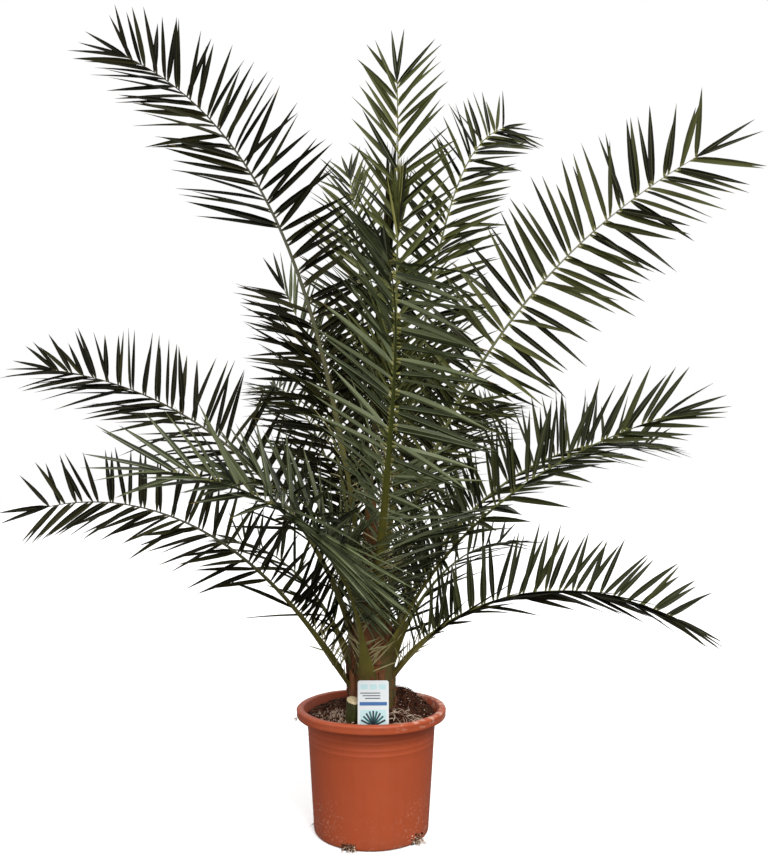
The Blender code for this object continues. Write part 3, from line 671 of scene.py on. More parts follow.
class Sheaf:
    """Vertices and faces of many small things, gathered for one joined mesh."""

    def __init__(self):
        self.points = []
        self.faces = []
        self.slots = []
        self.maps = []

    def add(self, points, faces, slots, maps):
        """Add one closed shape, turned right side out."""
        volume = 0.0
        for face in faces:
            first = points[face[0]]
            for i in range(1, len(face) - 1):
                volume += first.dot(points[face[i]].cross(points[face[i + 1]]))
        start = len(self.points)
        self.points.extend(points)
        for face, slot, corners in zip(faces, slots, maps):
            if volume < 0:
                face = face[::-1]
                corners = corners[::-1]
            self.faces.append(tuple(start + i for i in face))
            self.slots.append(slot)
            self.maps.append(corners)

    def tube(self, rings, shares, slot_at, across=None):
        """Add a closed form through rings of points.

        shares says how far along each ring is, and across where each point of
        a ring lies on the map.  slot_at gives the slot of a segment and side.
        """
        count = len(rings[0])
        across = across or [i / count for i in range(count)]
        across = list(across) + [across[0] + math.ceil(across[-1] - across[0] + 0.01)]
        points = [point for ring in rings for point in ring]
        faces = []
        slots = []
        maps = []
        for i in range(len(rings) - 1):
            for j in range(count):
                k = (j + 1) % count
                faces.append((i * count + j, i * count + k,
                              (i + 1) * count + k, (i + 1) * count + j))
                slots.append(slot_at(i, j))
                maps.append(((across[j], shares[i]), (across[j + 1], shares[i]),
                             (across[j + 1], shares[i + 1]), (across[j], shares[i + 1])))
        last = len(rings) - 1
        faces.append(tuple(range(count))[::-1])
        slots.append(slot_at(0, 0))
        maps.append(tuple((across[j], shares[0]) for j in range(count))[::-1])
        faces.append(tuple(last * count + j for j in range(count)))
        slots.append(slot_at(last - 1, 0))
        maps.append(tuple((across[j], shares[-1]) for j in range(count)))
        self.add(points, faces, slots, maps)

    def piece(self, name, materials, smooth_angle):
        """Make one object of all that was added."""
        mesh = bpy.data.meshes.new(name)
        mesh.from_pydata(self.points, [], self.faces)
        for material in materials:
            mesh.materials.append(material)
        mesh.polygons.foreach_set("material_index", self.slots)
        layer = mesh.uv_layers.new(name="along")
        flat = [value for corners in self.maps for corner in corners for value in corner]
        layer.data.foreach_set("uv", flat)
        mesh.validate()
        item = bpy.data.objects.new(name, mesh)
        bpy.context.scene.collection.objects.link(item)
        return smooth(item, smooth_angle)


def thread(sheaf, line, thick, slot, sides=3, taper=0.4):
    """Add a thin strand along a line of points."""
    rings = []
    count = len(line)
    for i, point in enumerate(line):
        ahead = line[min(i + 1, count - 1)] - line[max(i - 1, 0)]
        if ahead.length < 1e-9:
            ahead = UP.copy()
        side = ahead.cross(UP if abs(ahead.normalized().z) < 0.9 else Vector((1, 0, 0)))
        side.normalize()
        other = side.cross(ahead).normalized()
        share = i / (count - 1)
        radius = thick * (1.0 - (1.0 - taper) * abs(2.0 * share - 0.6))
        rings.append([point + side * (radius * math.cos(TURN * j / sides))
                      + other * (radius * math.sin(TURN * j / sides))
                      for j in range(sides)])
    shares = [i / (count - 1) for i in range(count)]
    sheaf.tube(rings, shares, lambda i, j: slot)


ICO_A = 0.525731
ICO_B = 0.850651
ICO_POINTS = tuple(Vector(p) for p in (
    (-ICO_A, 0, ICO_B), (ICO_A, 0, ICO_B), (-ICO_A, 0, -ICO_B), (ICO_A, 0, -ICO_B),
    (0, ICO_B, ICO_A), (0, ICO_B, -ICO_A), (0, -ICO_B, ICO_A), (0, -ICO_B, -ICO_A),
    (ICO_B, ICO_A, 0), (-ICO_B, ICO_A, 0), (ICO_B, -ICO_A, 0), (-ICO_B, -ICO_A, 0),
))
ICO_FACES = (
    (0, 4, 1), (0, 9, 4), (9, 5, 4), (4, 5, 8), (4, 8, 1), (8, 10, 1), (8, 3, 10),
    (5, 3, 8), (5, 2, 3), (2, 7, 3), (7, 10, 3), (7, 6, 10), (7, 11, 6), (11, 0, 6),
    (0, 1, 6), (6, 1, 10), (9, 0, 11), (9, 11, 2), (9, 2, 5), (7, 2, 11),
)


def crumb(sheaf, rng, place, size, slot, flat, long):
    """Add a lump with twelve uneven corners."""
    turn = rng.uniform(0, TURN)
    cos, sin = math.cos(turn), math.sin(turn)
    points = []
    for corner in ICO_POINTS:
        reach = size * rng.uniform(0.65, 1.15)
        x, y, z = corner.x * long, corner.y, corner.z * flat
        points.append(place + Vector((x * cos - y * sin, x * sin + y * cos, z)) * reach)
    maps = [((0.0, 0.0), (1.0, 0.0), (0.5, 1.0))] * len(ICO_FACES)
    sheaf.add(points, list(ICO_FACES), [slot] * len(ICO_FACES), maps)


def dressed(piece, nodes):
    """Ride on the plant's only body and stand for its solids."""
    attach(piece, "root")
    if nodes:
        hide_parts(*nodes)


# ===================================================================== pot
def body_radius(height, lip_foot):
    """The drafted body's radius, wider towards the foot of the lip."""
    return BODY_FOOT_RADIUS + (BODY_TOP_RADIUS - BODY_FOOT_RADIUS) * height / lip_foot


def pot_profile(height, rim):
    """From the middle of the underside up the outside, over and down inside."""
    lip_foot = height - LIP_HEIGHT
    points = [(0.0, 0.0), (0.0945, 0.0), (0.0970, 0.0008), (0.0982, 0.0024),
              (body_radius(0.0046, lip_foot), 0.0046)]
    for ring in sorted(RING_HEIGHTS):
        base = body_radius(ring, lip_foot)
        half = RING_WIDTH / 2
        points += [(base, ring - half), (base + RING_PROUD, ring - half * 0.4),
                   (base + RING_PROUD, ring + half * 0.4), (base, ring + half)]
    top = body_radius(lip_foot, lip_foot)
    points += [
        (top, lip_foot - 0.0050), (top + 0.0006, lip_foot - 0.0016),
        (top + 0.0022, lip_foot - 0.0002), (rim - 0.0040, lip_foot + 0.0002),
        (rim - 0.0018, lip_foot + 0.0008), (rim - 0.0008, lip_foot + 0.0022),
        (rim - 0.0009, lip_foot + 0.0050), (rim - 0.0004, height - 0.0052),
        (rim, height - 0.0036), (rim - 0.0006, height - 0.0018),
        (rim - 0.0022, height - 0.0004), (rim - 0.0045, height),
        (MOUTH_RADIUS + 0.0035, height), (MOUTH_RADIUS + 0.0012, height - 0.0006),
        (MOUTH_RADIUS, height - 0.0022), (MOUTH_RADIUS - 0.0015, lip_foot + 0.006),
        (top - WALL, lip_foot - 0.002),
        (body_radius(0.15, lip_foot) - WALL, 0.15),
        (body_radius(FLOOR, lip_foot) - WALL, FLOOR), (0.0, FLOOR),
    ]
    return points


class PALM_OT_make_pot(Operator):
    """Model the moulded nursery pot with its lip, rings and drain notches"""

    bl_idname = "palm.make_pot"
    bl_label = "Make pot"

    def execute(self, context):
        settings = context.scene.palm_pot
        profile = refined(pot_profile(settings.height, settings.rim_radius), 0.012)
        pot = spun("pot_body", profile, settings.steps)
        lip_foot = settings.height - LIP_HEIGHT
        for i, angle in enumerate(NOTCH_ANGLES):
            turn = math.radians(angle)
            deselect()
            bpy.ops.mesh.primitive_cylinder_add(
                vertices=24, radius=NOTCH_WIDTH / 2, depth=NOTCH_CUT,
                location=polar(BODY_FOOT_RADIUS, turn), rotation=(0, math.pi / 2, turn))
            cutter = named(bpy.context.object, f"notch_{i}")
            with_modifier(pot, "BOOLEAN", operation="DIFFERENCE", solver="EXACT", object=cutter)
            bpy.data.objects.remove(cutter, do_unlink=True)
        for vertex in pot.data.vertices:
            place = vertex.co
            sway = eased((place.z - lip_foot + RIM_FADE) / RIM_FADE)
            out = Vector((place.x, place.y, 0.0))
            if sway <= 0.0 or out.length < 0.05:
                continue
            wave = noise.noise(place * 14.0)
            fine = noise.noise(place * 60.0 + Vector((7, 3, 1)))
            vertex.co += out.normalized() * (RIM_WAVE * wave * sway + RIM_WAVE_FINE * fine * sway)
            rise = noise.noise(vertex.co * 11.0 + Vector((3, 9, 4)))
            vertex.co.z += (RIM_RISE * rise + RIM_RISE_FINE * fine) * sway
        pot.data.materials.append(pot_plastic(settings))
        smooth(pot, 50.0)
        dressed(pot, ["pot"])
        return {"FINISHED"}


# ==================================================================== soil
def soil_height(x, y):
    """Height of the soil: a low mound, small lumps and a bank at the back."""
    share = min(1.0, math.hypot(x, y) / MOUTH_RADIUS)
    mound = (1.0 - share) ** 0.8
    height = SOIL_EDGE + (SOIL_CROWN - SOIL_EDGE) * mound
    lumps = math.sin(61 * x + 2.0) * math.cos(53 * y) + 0.6 * math.sin(97 * (x + y))
    height += SOIL_LUMP * lumps * (1.0 - share ** 6)
    away = math.hypot(x - SOIL_BANK_PLACE[0], y - SOIL_BANK_PLACE[1])
    height += SOIL_BANK * math.exp(-(away / SOIL_BANK_SPREAD) ** 2)
    rough = noise.noise(Vector((x, y, 0.0)) * 70.0)
    fine = noise.noise(Vector((x, y, 1.0)) * 210.0)
    return height + (0.0026 * rough + 0.0014 * fine) * (1.0 - share ** 10)


# name, maker, colour and what else that maker takes
SOIL_SKINS = (
    ("peat_dark", earth, (0.010, 0.0036, 0.0020), (0.034, 0.011, 0.0052)),
    ("peat_red", earth, (0.082, 0.024, 0.010), (0.036, 0.011, 0.0056)),
    ("bark_chip", grained, (0.190, 0.085, 0.042), (0.090, 0.036, 0.018)),
    ("pale_speck", plain_skin, (0.540, 0.440, 0.350), 0.8, 500, 0.3),
    ("root_tan", plain_skin, (0.170, 0.075, 0.040), 0.75, 600, 0.3),
    ("root_pale", plain_skin, (0.560, 0.430, 0.320), 0.7, 600, 0.3),
)
PEAT_DARK, PEAT_RED, BARK, SPECK, ROOT_TAN, ROOT_PALE = range(6)


def on_soil(rng):
    """A place on the soil, anywhere between the trunk and the pot."""
    turn = rng.uniform(0, TURN)
    away = CRUMB_REACH * math.sqrt(rng.uniform(0.09, 1.0))
    x, y = away * math.cos(turn), away * math.sin(turn)
    return Vector((x, y, soil_height(x, y)))


def root_on_soil(sheaf, rng, start, length, thick, slot):
    """Add a thin root that wanders over the soil."""
    line = [start]
    heading = rng.uniform(0, TURN)
    steps = 7
    for i in range(steps):
        heading += rng.uniform(-0.7, 0.7)
        x = line[-1].x + math.cos(heading) * length / steps
        y = line[-1].y + math.sin(heading) * length / steps
        away = math.hypot(x, y)
        if away > ROOT_REACH:
            x, y = x * ROOT_REACH / away, y * ROOT_REACH / away
            heading += 1.4
        arch = 0.0035 * math.sin(math.pi * (i + 1) / steps) * rng.uniform(0.2, 1.3)
        line.append(Vector((x, y, soil_height(x, y) + 0.0008 + arch)))
    thread(sheaf, line, thick, slot)


def clump(sheaf, rng, place, out, size, count, roots):
    """Add a lump of soil with roots, caught on the pot."""
    along = UP.cross(out).normalized()
    for _ in range(count):
        rise = rng.gauss(0, size * 0.30)
        spot = place + along * rng.gauss(0, size * 0.34) + UP * rise
        reach = rng.uniform(0.04, 0.13) * size
        spot += out * rng.uniform(-0.2, 0.2) * size
        spot.z = max(spot.z, reach * 0.8)
        slots = (PEAT_RED, BARK, SPECK, ROOT_TAN, ROOT_TAN)
        if rise < -0.10 * size:
            slots = (PEAT_DARK, PEAT_DARK, PEAT_RED, BARK)
        crumb(sheaf, rng, spot, reach, rng.choice(slots), 0.7, rng.uniform(1.0, 2.0))
    for _ in range(roots):
        spot = place + along * rng.uniform(-0.5, 0.5) * size
        line = [spot.copy()]
        way = (out + along * rng.uniform(-0.9, 0.9) + UP * rng.uniform(-0.5, 0.7)).normalized()
        for _ in range(4):
            way = (way + DOWN * 0.35 + along * rng.uniform(-0.4, 0.4)).normalized()
            step = line[-1] + way * size * rng.uniform(0.20, 0.34)
            step.z = max(step.z, 0.0012)
            line.append(step)
        thread(sheaf, line, 0.0006, rng.choice((ROOT_TAN, ROOT_PALE, ROOT_PALE)))


class PALM_OT_make_soil(Operator):
    """Model the compost with its crumbs, bark, specks and fine roots"""

    bl_idname = "palm.make_soil"
    bl_label = "Make soil"

    def execute(self, context):
        settings = context.scene.palm_soil
        rng = random.Random(SOIL_SEED)
        profile = refined([(0.0, SOIL_EDGE), (SOIL_RADIUS, SOIL_EDGE)], 0.0028)
        profile += [(SOIL_RADIUS - 0.0030, SOIL_FOOT), (0.0, SOIL_FOOT)]
        soil = spun("soil_surface", profile, 176)
        for vertex in soil.data.vertices:
            if vertex.co.z > SOIL_FOOT + 0.002:
                vertex.co.z = soil_height(vertex.co.x, vertex.co.y)
        soil.data.materials.append(earth("peat", settings.colour, (0.070, 0.024, 0.012)))
        smooth(soil, 180.0)
        dressed(soil, ["soil"])

        crumbs = Sheaf()
        for _ in range(settings.crumbs):
            place = on_soil(rng)
            slot = rng.choices((PEAT_DARK, PEAT_RED, BARK, SPECK), (52, 33, 8, 7))[0]
            size = 0.0009 + 0.0026 * rng.random() ** 3
            if slot == SPECK:
                size = rng.uniform(0.0006, 0.0014)
            crumb(crumbs, rng, place, size, slot, 0.6, 1.7 if slot in (BARK, SPECK) else 1.0)
        for _ in range(settings.roots):
            root_on_soil(crumbs, rng, on_soil(rng), rng.uniform(0.012, 0.045),
                         rng.uniform(0.00018, 0.00038),
                         rng.choice((PEAT_RED, PEAT_RED, ROOT_TAN, ROOT_TAN)))
        for _ in range(PALE_ROOTS):
            start = Vector((rng.uniform(0.026, 0.088), rng.uniform(-0.095, -0.040), 0))
            start.z = soil_height(start.x, start.y) + 0.0012
            root_on_soil(crumbs, rng, start, rng.uniform(0.018, 0.042),
                         rng.uniform(0.0005, 0.0009), ROOT_PALE)
        for _ in range(SHORT_ROOTS):
            start = Vector((rng.gauss(-0.060, 0.022), rng.gauss(-0.060, 0.022), 0))
            if start.length < 0.104:
                start.z = soil_height(start.x, start.y) + 0.0010
                root_on_soil(crumbs, rng, start, rng.uniform(0.0025, 0.0075),
                             rng.uniform(0.0004, 0.0007),
                             rng.choice((ROOT_PALE, ROOT_PALE, ROOT_TAN)))
        for angle, size, count, roots in MUD_CLUMPS:
            out = polar(1.0, math.radians(angle))
            clump(crumbs, rng, out * (BODY_FOOT_RADIUS - 0.001) + UP * 0.0055, out,
                  size, count, roots)
        # a little soil caught on the lip
        side = Vector((-1.0, -0.12, 0.0)).normalized()
        clump(crumbs, rng, side * 0.1305 + UP * 0.191, side, 0.0075, 16, 3)
        dressed(crumbs.piece("soil_crumbs", skins(SOIL_SKINS), 30.0), [])
        return {"FINISHED"}


# =================================================================== trunk
# name, maker, colour, the colour of its grain and, at times, its roughness
TRUNK_SKINS = (
    ("fibre_red", grained, (0.250, 0.094, 0.036), (0.130, 0.044, 0.017)),
    ("fibre_dark", grained, (0.100, 0.040, 0.018), (0.050, 0.020, 0.010)),
    ("fibre_tan", grained, (0.270, 0.130, 0.055), (0.150, 0.060, 0.025)),
    ("base_green", grained, (0.080, 0.074, 0.017), (0.040, 0.034, 0.009), 0.6),
    ("base_brown", grained, (0.200, 0.078, 0.028), (0.090, 0.034, 0.013)),
)
FIBRE_RED, FIBRE_DARK, FIBRE_TAN, BASE_GREEN, BASE_BROWN = range(5)


def trunk_mat(colour):
    """The fibre mat: painted shade darkens it high up, between the stalks; orange-brown at its
    top.
    """
    finish = Finish("trunk_fibre", colour, 0.85, 0.2)
    grain = finish.noise(120.0, 5.0, (1.0, 1.0, 0.12))
    finish.tint(finish.span(grain, 0.38, 0.66), (0.280, 0.108, 0.040))
    height = finish.axis(finish.place, 2)
    # painted shade: the mat is darker above this height, where the stalks crowd round it
    painted_shade = finish.span(height, 0.36, 0.42)
    finish.tint(finish.join("MULTIPLY", painted_shade, 0.75), (0.022, 0.012, 0.005))
    top = finish.join("MULTIPLY", finish.span(height, 0.475, 0.505),
                      finish.span(grain, 0.30, 0.60, 0.3, 1.0))
    finish.tint(top, (0.165, 0.078, 0.026))
    finish.bump(grain, 0.5, 0.0012)
    return finish.material


def core_radius(height):
    """The trunk's radius at a height."""
    return between(TRUNK_PROFILE, height)


def old_base(sheaf, rng, height, turn, tall, half_width, slot):
    """Add the cut foot of an old leaf, hugging the trunk."""
    rings = []
    steps = 6
    lean = rng.uniform(0.06, 0.20)
    for i in range(steps + 1):
        share = i / steps
        z = height + tall * share
        half = half_width * (1.0 - 0.55 * share ** 0.8)
        thick = 0.0065 * (1.0 - 0.35 * share)
        away = core_radius(z) - 0.0015 + lean * tall * share ** 1.6
        ring = []
        for x, y in RIB_OUTLINE:
            angle = turn + x * half / max(away, 0.02)
            reach = away - y * thick
            skew = 0.006 * math.sin(3.0 * x + height * 90.0) if i == steps else 0.0
            ring.append(polar(reach, angle, z + skew))
        rings.append(ring)
    shares = [i / steps for i in range(steps + 1)]
    sheaf.tube(rings, shares, lambda i, j: slot)


def wound_strand(sheaf, rng, slot, low, high):
    """Add a fibre that runs slantwise up round the trunk."""
    height = rng.uniform(low, high)
    turn = rng.uniform(0, TURN)
    rise = rng.uniform(0.25, 1.4)
    hand = rng.choice((-1, 1))
    length = rng.uniform(0.03, 0.11)
    proud = rng.uniform(0.000, 0.0065)
    loose = rng.random() < 0.22
    line = []
    steps = 6
    for i in range(steps + 1):
        share = i / steps
        step = length * share
        z = height + step * math.sin(rise)
        reach = core_radius(z) + proud + 0.002 * math.sin(share * 5.0 + height * 300.0)
        if loose:
            reach += 0.020 * share ** 3
        angle = turn + hand * step * math.cos(rise) / max(reach, 0.012)
        line.append(polar(reach, angle, z))
    thread(sheaf, line, rng.uniform(0.00022, 0.00052), slot)


class PALM_OT_make_trunk(Operator):
    """Model the fibrous trunk with old leaf bases and wound fibres"""

    bl_idname = "palm.make_trunk"
    bl_label = "Make trunk"

    def execute(self, context):
        settings = context.scene.palm_trunk
        rng = random.Random(TRUNK_SEED)
        profile = [(0.0, TRUNK_FOOT)]
        profile += [(radius, height) for height, radius in TRUNK_PROFILE]
        profile += [(0.0, TRUNK_TOP)]
        trunk = spun("trunk_bark", refined(profile, 0.0035), 120)
        for vertex in trunk.data.vertices:
            place = vertex.co
            out = Vector((place.x, place.y, 0.0))
            if out.length < 0.004 or place.z < TRUNK_FOOT + 0.0001:
                continue
            turn = math.atan2(place.y, place.x)
            around = WEAVE_TURNS * turn
            up = WEAVE_RISE * place.z
            weave = max(math.sin(around + up), math.sin(around - up))
            grain = noise.noise(Vector((turn * 14.0, turn * 9.0, place.z * 30.0)))
            lump = noise.noise(place * 48.0)
            vertex.co += out.normalized() * (0.0006 * weave + 0.0012 * grain + 0.0018 * lump)
        trunk.data.materials.append(trunk_mat(settings.colour))
        smooth(trunk, 60.0)
        dressed(trunk, ["trunk"])

        bark = Sheaf()
        for i in range(settings.bases):
            share = i / max(1, settings.bases - 1)
            height = BASES_LOW + BASES_SPAN * share
            turn = i * math.radians(GOLDEN_ANGLE) + 0.4
            old_base(bark, rng, height, turn, rng.uniform(0.040, 0.075) * (1.0 - 0.3 * share),
                     rng.uniform(0.012, 0.016),
                     rng.choice((BASE_GREEN, BASE_BROWN, BASE_BROWN, FIBRE_DARK)))
        for i in range(settings.strands):
            slot = rng.choices((FIBRE_RED, FIBRE_DARK, FIBRE_TAN), (6, 2, 2))[0]
            wound_strand(bark, rng, slot, *(LOW_STRANDS if i % 3 else HIGH_STRANDS))
        dressed(bark.piece("trunk_fibres", skins(TRUNK_SKINS), 35.0), [])
        return {"FINISHED"}


# ================================================================== fronds
class Rib:
    """The line of a frond's rib, with the blade's frame at each place."""

    STEPS = 90

    def __init__(self, frond):
        self.frond = frond
        place = polar(frond.seat_radius, math.radians(frond.heading), frond.seat_height)
        self.places = [place.copy()]
        step = frond.length / self.STEPS
        for i in range(self.STEPS):
            place = place + self.direction((i + 0.5) / self.STEPS) * step
            self.places.append(place.copy())

    def direction(self, share):
        frond = self.frond
        rise = math.radians(blend(frond.rise, frond.tip_rise, share ** frond.bend))
        heading = math.radians(frond.heading + frond.swing * share)
        return Vector((math.cos(rise) * math.cos(heading),
                       math.cos(rise) * math.sin(heading),
                       math.sin(rise)))

    def place(self, share):
        at = min(max(share, 0.0), 1.0) * self.STEPS
        low = min(int(at), self.STEPS - 1)
        return self.places[low].lerp(self.places[low + 1], at - low)

    def frame(self, share, rolled=1.0):
        """Along the rib, out to the left side, and up out of the blade."""
        frond = self.frond
        along = self.direction(share)
        heading = math.radians(frond.heading + frond.swing * share)
        level = Vector((-math.sin(heading), math.cos(heading), 0.0))
        up = along.cross(level)
        roll = rolled * math.radians(blend(frond.roll, frond.tip_roll, share))
        left = level * math.cos(roll) + up * math.sin(roll)
        up = up * math.cos(roll) - level * math.sin(roll)
        return along, left, up

    def sheath(self, share):
        """How much of the sheath is left at a place, 1 at the foot."""
        away = share * self.frond.length
        return math.exp(-(away / RIB_SHEATH_FADE) ** 1.3)

    def half_width(self, share):
        blade = RIB_TIP + (RIB_BLADE - RIB_TIP) * (1.0 - share) ** RIB_TAPER * self.frond.stout
        return blade + RIB_SHEATH * self.sheath(share)

    def half_depth(self, share):
        blade = blend(RIB_TIP, RIB_BLADE * RIB_FLAT, (1.0 - share) ** RIB_TAPER)
        return blade + RIB_DEEPER * self.sheath(share)


@dataclass
class Leaf:
    """One leaflet: where it is rooted, its size and how it stands."""

    root: Vector
    along: Vector
    left: Vector
    up: Vector
    side: int
    length: float
    fore: float
    lift: float
    width: float
    sag: float
    turn: float
    twist: float


def add_leaf(sheaf, leaf, slot, foot_slot, midrib_sheen_slot, tip_slot):
    """Add one folded leaflet with a raised line along its middle, coloured as its midrib and a
    painted highlight.
    """
    fore = math.radians(leaf.fore)
    lift = math.radians(leaf.lift)
    out = leaf.left * (leaf.side * math.cos(lift)) + leaf.up * math.sin(lift)
    way = (leaf.along * math.cos(fore) + out * math.sin(fore)).normalized()
    across = (leaf.along - way * leaf.along.dot(way)).normalized()
    face = across.cross(way) * leaf.side
    if face.dot(leaf.up) < 0:
        face.negate()
    rings = []
    for share, wide in LEAF_OUTLINE:
        centre = leaf.root + way * (leaf.length * share)
        centre += DOWN * (leaf.sag * leaf.length * share * share)
        turn = math.radians(leaf.turn + leaf.twist * share)
        flat = across * math.cos(turn) + face * math.sin(turn)
        rise = face * math.cos(turn) - across * math.sin(turn)
        half = leaf.width * wide / 2
        fold = math.radians(blend(LEAF_FOLD_FOOT, LEAF_FOLD_TIP, share))
        edge = flat * (half * math.cos(fold))
        raised = rise * (half * math.sin(fold))
        middle = flat * min(half * 0.3, MIDRIB_HALF)
        thick = rise * (LEAF_THICK * (1.0 - 0.6 * share))
        rings.append([centre + edge + raised, centre + middle + thick,
                      centre - middle + thick, centre - edge + raised,
                      centre - middle - thick, centre + middle - thick])
    shares = [share * leaf.length / leaf.width / 8.0 for share, _ in LEAF_OUTLINE]
    last = len(rings) - 2

    def slot_at(i, j):
        if i == 0:
            return foot_slot
        if i == last:
            return tip_slot
        # the two faces along the middle: the midrib, partly a painted highlight
        if j in (1, 4):
            return midrib_sheen_slot
        return slot

    sheaf.tube(rings, shares, slot_at, (0.0, 0.48, 0.52, 1.0, 1.48, 1.52))


def dealt(rng, first=0):
    """One of a palette's three leaf colours, from its first slot."""
    return first + rng.choices(range(3), SHARES)[0]


def leaf_length(frond, share):
    """Short at the foot, longest near a third, shorter at the tip."""
    grown = FOOT_SHORT + (1.0 - FOOT_SHORT) * eased(share / GROWN_AT)
    return frond.leaf * grown * (1.0 - TIP_SHORT * share ** TIP_SHORT_POWER)


def add_leaflets(sheaf, rib, rng, settings):
    """Every leaflet of a frond, by the rule of its solid at a finer spacing."""
    frond = rib.frond
    blade = frond.length * (1.0 - frond.petiole)
    pairs = round(blade * frond.crowd / settings.spacing)
    sides = ((1, frond.fore_left, LEAF_SIDES_AT[0]), (-1, frond.fore_right, LEAF_SIDES_AT[1]))
    for i in range(pairs):
        for side, middle, offset in sides:
            paired = PAIRING if (i + (side > 0)) % 2 else -PAIRING
            share = (i + offset + paired + rng.uniform(-0.12, 0.12)) / pairs
            share = min(max(share, 0.0), 1.0)
            at = frond.petiole + (1.0 - frond.petiole) * share * BLADE_END
            if side == frond.bare_side and frond.bare_from < at < frond.bare_to:
                continue
            along, left, up = rib.frame(at)
            fore = middle + FORE_FOOT * (1.0 - share) ** 3 - frond.close * share ** 2.5
            fore += max(-12.0, min(12.0, rng.gauss(0.0, SPREAD_FORE)))
            lift = frond.lift * (1.0 - LIFT_TIP * share) + RANKS[(i + (side > 0)) % len(RANKS)]
            lift += rng.uniform(-SPREAD_LIFT, SPREAD_LIFT)
            length = leaf_length(frond, share)
            length *= 1.0 + rng.uniform(-JITTER_LENGTH, JITTER_LENGTH)
            width = settings.width * frond.slim * rng.uniform(0.85, 1.1)
            width *= 0.60 + 0.40 * length / frond.leaf
            root = rib.place(at) + left * (side * rib.half_width(at) * 0.6)
            leaf = Leaf(root, along, left, up, side, length, fore, lift, width,
                        rng.uniform(0.0, 0.08), rng.uniform(-SPREAD_TURN, SPREAD_TURN),
                        rng.uniform(-18, 18))
            first = OTHER if side < 0 and frond.other and not frond.veil else 0
            slot = dealt(rng, first)
            add_leaf(sheaf, leaf, slot, first + FOOT, first + MIDRIB_SHEEN,
                     DRY if rng.random() < DRY_TIPS else slot)
    along, left, up = rib.frame(1.0)
    for side, fore in ((1, 5.0), (-1, 9.0)):
        leaf = Leaf(rib.place(BLADE_END), along, left, up, side, leaf_length(frond, 1.0) * 0.95,
                    fore, 8.0, settings.width * 0.8, 0.02, 0.0, 0.0)
        add_leaf(sheaf, leaf, 0, 0, MIDRIB_SHEEN, 0)


def add_fringe(sheaf, rib, rng, settings):
    """The thin leaflets crowded low on the blade, and the pale spines below them."""
    frond = rib.frond
    low = frond.petiole * FRINGE_LOW
    high = frond.petiole + (1.0 - frond.petiole) * FRINGE_HIGH
    count = int((high - low) * frond.length / settings.fringe_spacing)
    for i in range(count):
        for side in (1, -1):
            share = (i + rng.uniform(0.1, 0.9)) / count
            at = blend(low, high, share)
            along, left, up = rib.frame(at, eased(at / frond.petiole))
            grown = eased(share * 1.25)
            length = blend(*FRINGE_LENGTHS, grown)
            width = blend(*FRINGE_WIDTHS, grown)
            spine = rng.random() > share * 2.2
            if spine:
                width *= 0.62
            hangs = (left * side).z < -0.12 and frond.seat_height < BARE_SEAT
            if hangs and rng.random() < 0.9:
                continue
            root = rib.place(at) + left * (side * rib.half_width(at) * 0.7)
            middle = frond.fore_left if side > 0 else frond.fore_right
            leaf = Leaf(root, along, left, up, side, length * rng.uniform(0.7, 1.1),
                        min(middle, FRINGE_FORE) + rng.uniform(-22, 8),
                        rng.uniform(0, 55), width,
                        rng.uniform(-0.02, 0.10), rng.uniform(-30, 30), rng.uniform(-15, 15))
            if spine:
                add_leaf(sheaf, leaf, SPINE, SPINE, SPINE, SPINE)
            else:
                slot = dealt(rng)
                add_leaf(sheaf, leaf, slot, FOOT, MIDRIB_SHEEN, slot)


def add_veil(sheaf, rib, rng, settings):
    """Long leaflets that hang one way from a rib, across the heart of the plant."""
    low, high, count, way = rib.frond.veil
    for i in range(count):
        share = i / count
        at = blend(low, high, share)
        spread = Vector([rng.gauss(0.0, VEIL_SPREAD) for _ in range(3)])
        along = (Vector(way) + spread).normalized()
        out = along.cross(UP).normalized()
        grown = 0.42 + 0.58 * eased(share * 1.5)
        length = VEIL_LENGTH * grown * rng.uniform(0.8, 1.08)
        leaf = Leaf(rib.place(at), along, out, out.cross(along), 1, length,
                    rng.uniform(1.0, 4.0), 0.0, settings.width * rng.uniform(0.65, 0.95),
                    rng.uniform(0.02, 0.16), rng.uniform(-40, 40), rng.uniform(-18, 18))
        first = OTHER if rib.frond.other else 0
        slot = dealt(rng, first)
        add_leaf(sheaf, leaf, slot, first + FOOT, first + MIDRIB_SHEEN, slot)


def add_spines(sheaf, rib, rng):
    """Stiff pale spines low on a stalk, most on the side that faces +X."""
    frond = rib.frond
    for i in range(frond.spines):
        at = frond.petiole * (0.15 + 1.05 * i / frond.spines)
        along, left, up = rib.frame(at, eased(at / frond.petiole))
        side = 1 if left.x > 0 else -1
        if rng.random() < 0.3:
            side = -side
        length = rng.uniform(0.024, 0.060)
        leaf = Leaf(rib.place(at) + left * (side * rib.half_width(at) * 0.8), along, left, up,
                    side, length, rng.uniform(24, 78), rng.uniform(5, 50), SPINE_WIDTH,
                    rng.uniform(-0.04, 0.06), rng.uniform(-30, 30), 0.0)
        add_leaf(sheaf, leaf, SPINE, SPINE, SPINE, SPINE)


